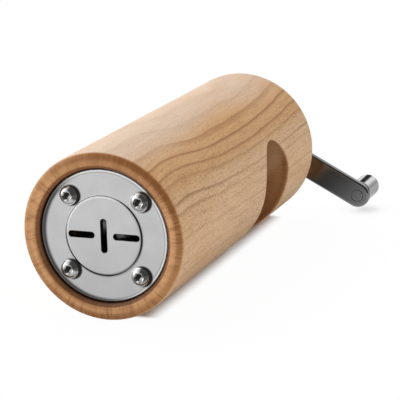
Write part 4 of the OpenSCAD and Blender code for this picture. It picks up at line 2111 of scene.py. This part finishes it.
@dataclass
class Crank:
    """Hub, flat arm, their washers and screw, and the knob on its rivet.

    Edges are pairs of inset and depth, first for the side of the body and then for the far side.
    """

    finishes: Finishes
    arm_near: float = 136.2
    arm_far: float = 138.5
    arm_w: float = 8.7
    arm_steps: int = 96
    arm_edges: Edge = ((0.9, 0.6), (0.35, 0.35))
    arm_hole_edges: Edge = ((0.14, 0.14), (0.1, 0.1))
    reach: float = ARM_REACH
    turn: float = ARM_TURN
    knob_axis: Point2 = KNOB_AXIS
    tenon_r: float = 2.65
    tenon_steps: int = 48
    shaft_r: float = SHAFT_R
    hub_foot: float = 125.1
    hub_r: float = 6.0
    hub_edge: float = 0.25
    hub_gap: float = 0.02
    hub_sharp: float = 50.0
    waist_r: float = 4.0
    waist_steps: int = 20
    land: float = 1.5
    thin: float = 0.5
    washer_gap: float = 0.12
    washer_drop: float = 0.1
    washer_round: float = 0.1
    knob_ring_round: float = 0.08
    split_bore: float = 1.62
    split_r: float = 3.5
    split: float = 14.0
    screw_l: float = 5.6
    knob_r: float = 4.0
    knob_foot: float = 139.1
    knob_top: float = 151.7
    knob_round: float = 0.81
    knob_gap: float = 0.05
    neck_r: float = 3.2
    neck_l: float = 0.8
    neck_round: float = 0.15
    shoulder_round: float = 0.3
    hole_round: float = 0.1
    well_gap: float = 0.12
    well_depth: float = 0.1
    rivet_r: float = 2.1
    rivet_gap: float = 0.02
    rivet_steps: int = 64
    rivet_head_r: float = 2.9
    rivet_seat: float = 149.9
    rivet_top: float = 151.2
    rivet_end_round: float = 0.22
    rivet_seat_round: float = 0.05
    rivet_head_rounds: Point2 = (0.1, 0.5)

    def hub(self) -> None:
        """Build and dress the waisted hub and the washer under it."""
        bore = self.shaft_r + self.hub_gap
        half = (self.arm_near - self.hub_foot) / 2 - self.land
        depth = self.hub_r - self.waist_r
        hollow = (half**2 + depth**2) / (2 * depth)
        middle = (self.arm_near + self.hub_foot) / 2
        lip = self.hub_r - self.hub_edge
        profile = [(bore, self.hub_foot), (lip, self.hub_foot), (self.hub_r, self.hub_foot + self.hub_edge)]
        for i in range(self.waist_steps + 1):
            level = middle - half + 2 * half * i / self.waist_steps
            r = self.waist_r + hollow - math.sqrt(hollow**2 - (level - middle) ** 2)
            profile.append((r, level))
        profile.append((self.hub_r, self.arm_near - self.hub_edge))
        profile += [(lip, self.arm_near), (bore, self.arm_near)]
        draft = MeshDraft()
        draft.lathe(profile, closed=True)
        piece = draft.make("waisted_hub", self.hub_sharp)
        settle(piece, Rides.ROTOR, "crank_steel", self.finishes.crank, "crank_hub")
        top = self.hub_foot - self.washer_drop
        profile = washer(self.shaft_r + self.washer_gap, self.hub_r, top - self.thin, top, self.washer_round)
        ring = MeshDraft()
        ring.lathe(profile, closed=True)
        settle(ring.make("nylon_ring"), Rides.BODY, "washer_nylon", self.finishes.nylon, "hub_washer")
        keep("hub_pin", self.finishes.pin)

    def arm(self) -> None:
        """Build and dress the flat arm."""
        middle = (self.knob_axis[0] / 2, self.knob_axis[1] / 2)
        outline = Obround(middle, self.reach + self.arm_w, self.arm_w, self.turn, self.arm_steps)
        holes = [
            Obround.circle((0.0, 0.0), self.tenon_r, self.tenon_steps),
            Obround.circle(self.knob_axis, self.rivet_r + self.rivet_gap, self.rivet_steps),
        ]
        draft = MeshDraft()
        draft.slab(outline, holes, self.arm_near, self.arm_far, self.arm_edges, self.arm_hole_edges)
        settle(draft.make("flat_arm"), Rides.ROTOR, "crank_steel", self.finishes.crank, "crank_arm")

    def fastening(self) -> None:
        """Build and dress the split washer and the screw that hold the arm."""
        top = self.arm_far + self.thin
        ring = MeshDraft()
        profile = washer(self.split_bore, self.split_r, self.arm_far, top, self.washer_round)
        ring.lathe(profile, closed=True, gap=self.split)
        settle(ring.make("split_ring"), Rides.ROTOR, "washer_steel", self.finishes.washer, "lock_washer")
        draft = MeshDraft()
        ButtonScrew(shank_l=self.screw_l).add(draft, (0.0, 0.0), top, 1)
        piece = draft.make("arm_screw", HEAD_SHARP)
        settle(piece, Rides.ROTOR, "screw_steel", self.finishes.screw, "crank_screw")

    def knob(self) -> None:
        """Build and dress the knob."""
        bore = self.rivet_r + self.knob_gap
        well = self.rivet_head_r + self.well_gap
        well_floor = self.rivet_seat - self.well_depth
        neck_end = self.knob_foot + self.neck_l
        draft = MeshDraft()
        corners = [
            Corner(bore, self.knob_foot, self.hole_round),
            Corner(self.neck_r, self.knob_foot, self.neck_round),
            Corner(self.neck_r, neck_end, self.neck_round),
            Corner(self.knob_r, neck_end, self.shoulder_round),
            Corner(self.knob_r, self.knob_top, self.knob_round),
            Corner(well, self.knob_top, self.hole_round),
            Corner(well, well_floor),
            Corner(bore, well_floor),
        ]
        draft.lathe(rounded(corners, closed=True), self.knob_axis, closed=True)
        settle(draft.make("turned_knob"), Rides.KNOB, "knob_steel", self.finishes.knob, "knob")

    def rivet(self) -> None:
        """Build and dress the knob's rivet and the washer under the knob."""
        draft = MeshDraft()
        corners = [
            Corner(0.0, self.arm_near),
            Corner(self.rivet_r, self.arm_near, self.rivet_end_round),
            Corner(self.rivet_r, self.rivet_seat, self.rivet_seat_round),
            Corner(self.rivet_head_r, self.rivet_seat, self.rivet_head_rounds[0]),
            Corner(self.rivet_head_r, self.rivet_top, self.rivet_head_rounds[1]),
            Corner(0.0, self.rivet_top),
        ]
        draft.lathe(rounded(corners), self.knob_axis, self.rivet_steps)
        settle(draft.make("flush_rivet"), Rides.ROTOR, "knob_steel", self.finishes.rivet, "knob_rivet")
        ring = MeshDraft()
        bore = self.rivet_r + self.washer_gap
        top = self.arm_far + self.thin
        profile = washer(bore, self.neck_r, self.arm_far, top, self.knob_ring_round)
        ring.lathe(profile, self.knob_axis, self.rivet_steps, closed=True)
        settle(ring.make("knob_ring"), Rides.ROTOR, "washer_steel", self.finishes.washer, "knob_washer")

    def build(self) -> None:
        """Build the whole crank."""
        self.hub()
        self.arm()
        self.fastening()
        self.knob()
        self.rivet()


@dataclass(frozen=True)
class LightField:
    """Bright or dark field of the surroundings: its middle, how it fades in, and its strength."""

    middle: Triple
    fade: Point2
    strength: float

    def at(self, view: tuple[Value, Value, Value]) -> Value:
        """Strength of the field in a direction."""
        x, y, z = (part * share for part, share in zip(view, self.middle))
        return (x + y + z).ease(*self.fade) * self.strength


@dataclass
class Studio:
    """Camera, white floor and soft light. Places are in metres and turns in degrees.

    The room is what polished metal mirrors, and the light is what falls on the mill.
    """

    camera_at: Triple = (0.19441, -0.43405, 0.14038)
    camera_turn: Triple = (74.760, 0.165, 20.695)
    lens: float = 156.27
    sensor: float = 36.0
    clip: Point2 = (0.01, 50.0)
    floor_level: float = -0.025
    floor_half: float = 4.0
    sun_from: Triple = (-0.55, 0.25, 0.80)
    sun_strength: float = 2.0
    sun_spread: float = 50.0
    room_front: LightField = LightField((0.58, -0.55, 0.60), (0.42, 0.78), 0.93)
    room_flag: LightField = LightField((-0.20, 0.90, 0.38), (0.962, 0.986), 0.97)
    room_gleam: LightField = LightField((-0.87, -0.40, 0.27), (0.86, 0.97), 1.2)
    horizon_front: Point2 = (0.45, 0.75)
    horizon_foot: Point2 = (0.0, 0.06)
    horizon_top: Point2 = (0.20, 0.34)
    horizon_share: float = 0.8
    wall_right: Point2 = (0.20, 0.34)
    wall_far: Point2 = (0.60, 0.80)
    wall_share: float = 0.6
    sky: float = 0.80
    light_shade: LightField = LightField((0.45, -0.65, 0.61), (-0.05, 0.70), 0.92)
    light_behind: LightField = LightField((0.0, 1.0, 0.0), (0.0, 0.7), 0.85)
    light_side: LightField = LightField((0.93, 0.05, 0.36), (0.45, 0.95), 0.90)
    light_left: LightField = LightField((-0.62, -0.78, 0.08), (0.30, 0.95), 0.97)

    def camera(self) -> None:
        """Set the camera at the viewing angle of the photograph."""
        data = bpy.data.cameras.new("camera")
        data.lens = self.lens
        data.sensor_width = self.sensor
        data.clip_start, data.clip_end = self.clip
        camera = bpy.data.objects.new("camera", data)
        camera.location = self.camera_at
        camera.rotation_euler = [math.radians(a) for a in self.camera_turn]
        bpy.context.scene.collection.objects.link(camera)
        bpy.context.scene.camera = camera

    def floor(self) -> None:
        """Lay the floor that the mill lies on."""
        mesh = bpy.data.meshes.new("floor")
        half = self.floor_half
        z = self.floor_level
        corners = [(-half, -half, z), (half, -half, z), (half, half, z), (-half, half, z)]
        mesh.from_pydata(corners, [], [(0, 1, 2, 3)])
        mesh.materials.append(FloorFinish().material())
        floor = bpy.data.objects.new("floor", mesh)
        bpy.context.scene.collection.objects.link(floor)

    def sun(self) -> None:
        """Hang one broad lamp above the mill."""
        data = bpy.data.lights.new("broad_lamp", "SUN")
        data.energy = self.sun_strength
        data.angle = math.radians(self.sun_spread)
        lamp = bpy.data.objects.new("broad_lamp", data)
        lamp.rotation_euler = Vector(self.sun_from).to_track_quat("Z", "Y").to_euler()
        bpy.context.scene.collection.objects.link(lamp)

    def room(self, view: tuple[Value, Value, Value]) -> Value:
        """Brightness of the room that polished metal mirrors.

        Args:
            view: Direction, as its three parts.

        Returns:
            The brightness.
        """
        x, y, z = view
        strip = z.ease(*self.horizon_foot) * (1 - z.ease(*self.horizon_top))
        horizon = (0 - y).ease(*self.horizon_front) * strip * self.horizon_share
        wall = x.ease(*self.wall_right) * y.ease(*self.wall_far) * self.wall_share
        dark = self.room_front.at(view).at_least(self.room_flag.at(view)).at_least(horizon).at_least(wall)
        return 1 + self.room_gleam.at(view) - dark

    def light(self, view: tuple[Value, Value, Value]) -> Value:
        """Brightness of the soft light that falls on the mill.

        Args:
            view: Direction, as its three parts.

        Returns:
            The brightness.
        """
        open_sky = (1 - self.light_shade.at(view)) * (1 - self.light_behind.at(view)) * self.sky
        return open_sky + self.light_side.at(view) + self.light_left.at(view)

    def world(self) -> None:
        """Surround the mill with a white room that is darker behind the camera."""
        world = bpy.data.worlds.new("studio")
        world.use_nodes = True
        world.node_tree.nodes.clear()
        graph = Graph(world.node_tree)
        view = graph.parts(graph.node("ShaderNodeTexCoord").outputs["Generated"])
        path = graph.node("ShaderNodeLightPath").outputs
        seen = Value(graph, path["Is Camera Ray"])
        glossy = Value(graph, path["Is Glossy Ray"])
        unseen = glossy * self.room(view) + (1 - glossy) * self.light(view)
        white = {"Color": (1.0, 1.0, 1.0, 1.0), "Strength": seen + (1 - seen) * unseen}
        background = graph.node("ShaderNodeBackground", None, white)
        graph.node("ShaderNodeOutputWorld", None, {"Surface": background.outputs[0]})
        bpy.context.scene.world = world

    def build(self) -> None:
        """Set up the whole studio."""
        bpy.context.scene.view_settings.view_transform = "Standard"
        self.camera()
        self.floor()
        self.sun()
        self.world()


def main() -> None:
    """Build the mill's looks and the studio round it."""
    logging.basicConfig(level=logging.INFO, format="%(name)s: %(message)s")
    finishes = Finishes()
    for assembly in (WoodenBody, CutterBase, SpringDrive, Crank):
        assembly(finishes).build()
    Studio().build()


if __name__ == "__main__":
    main()
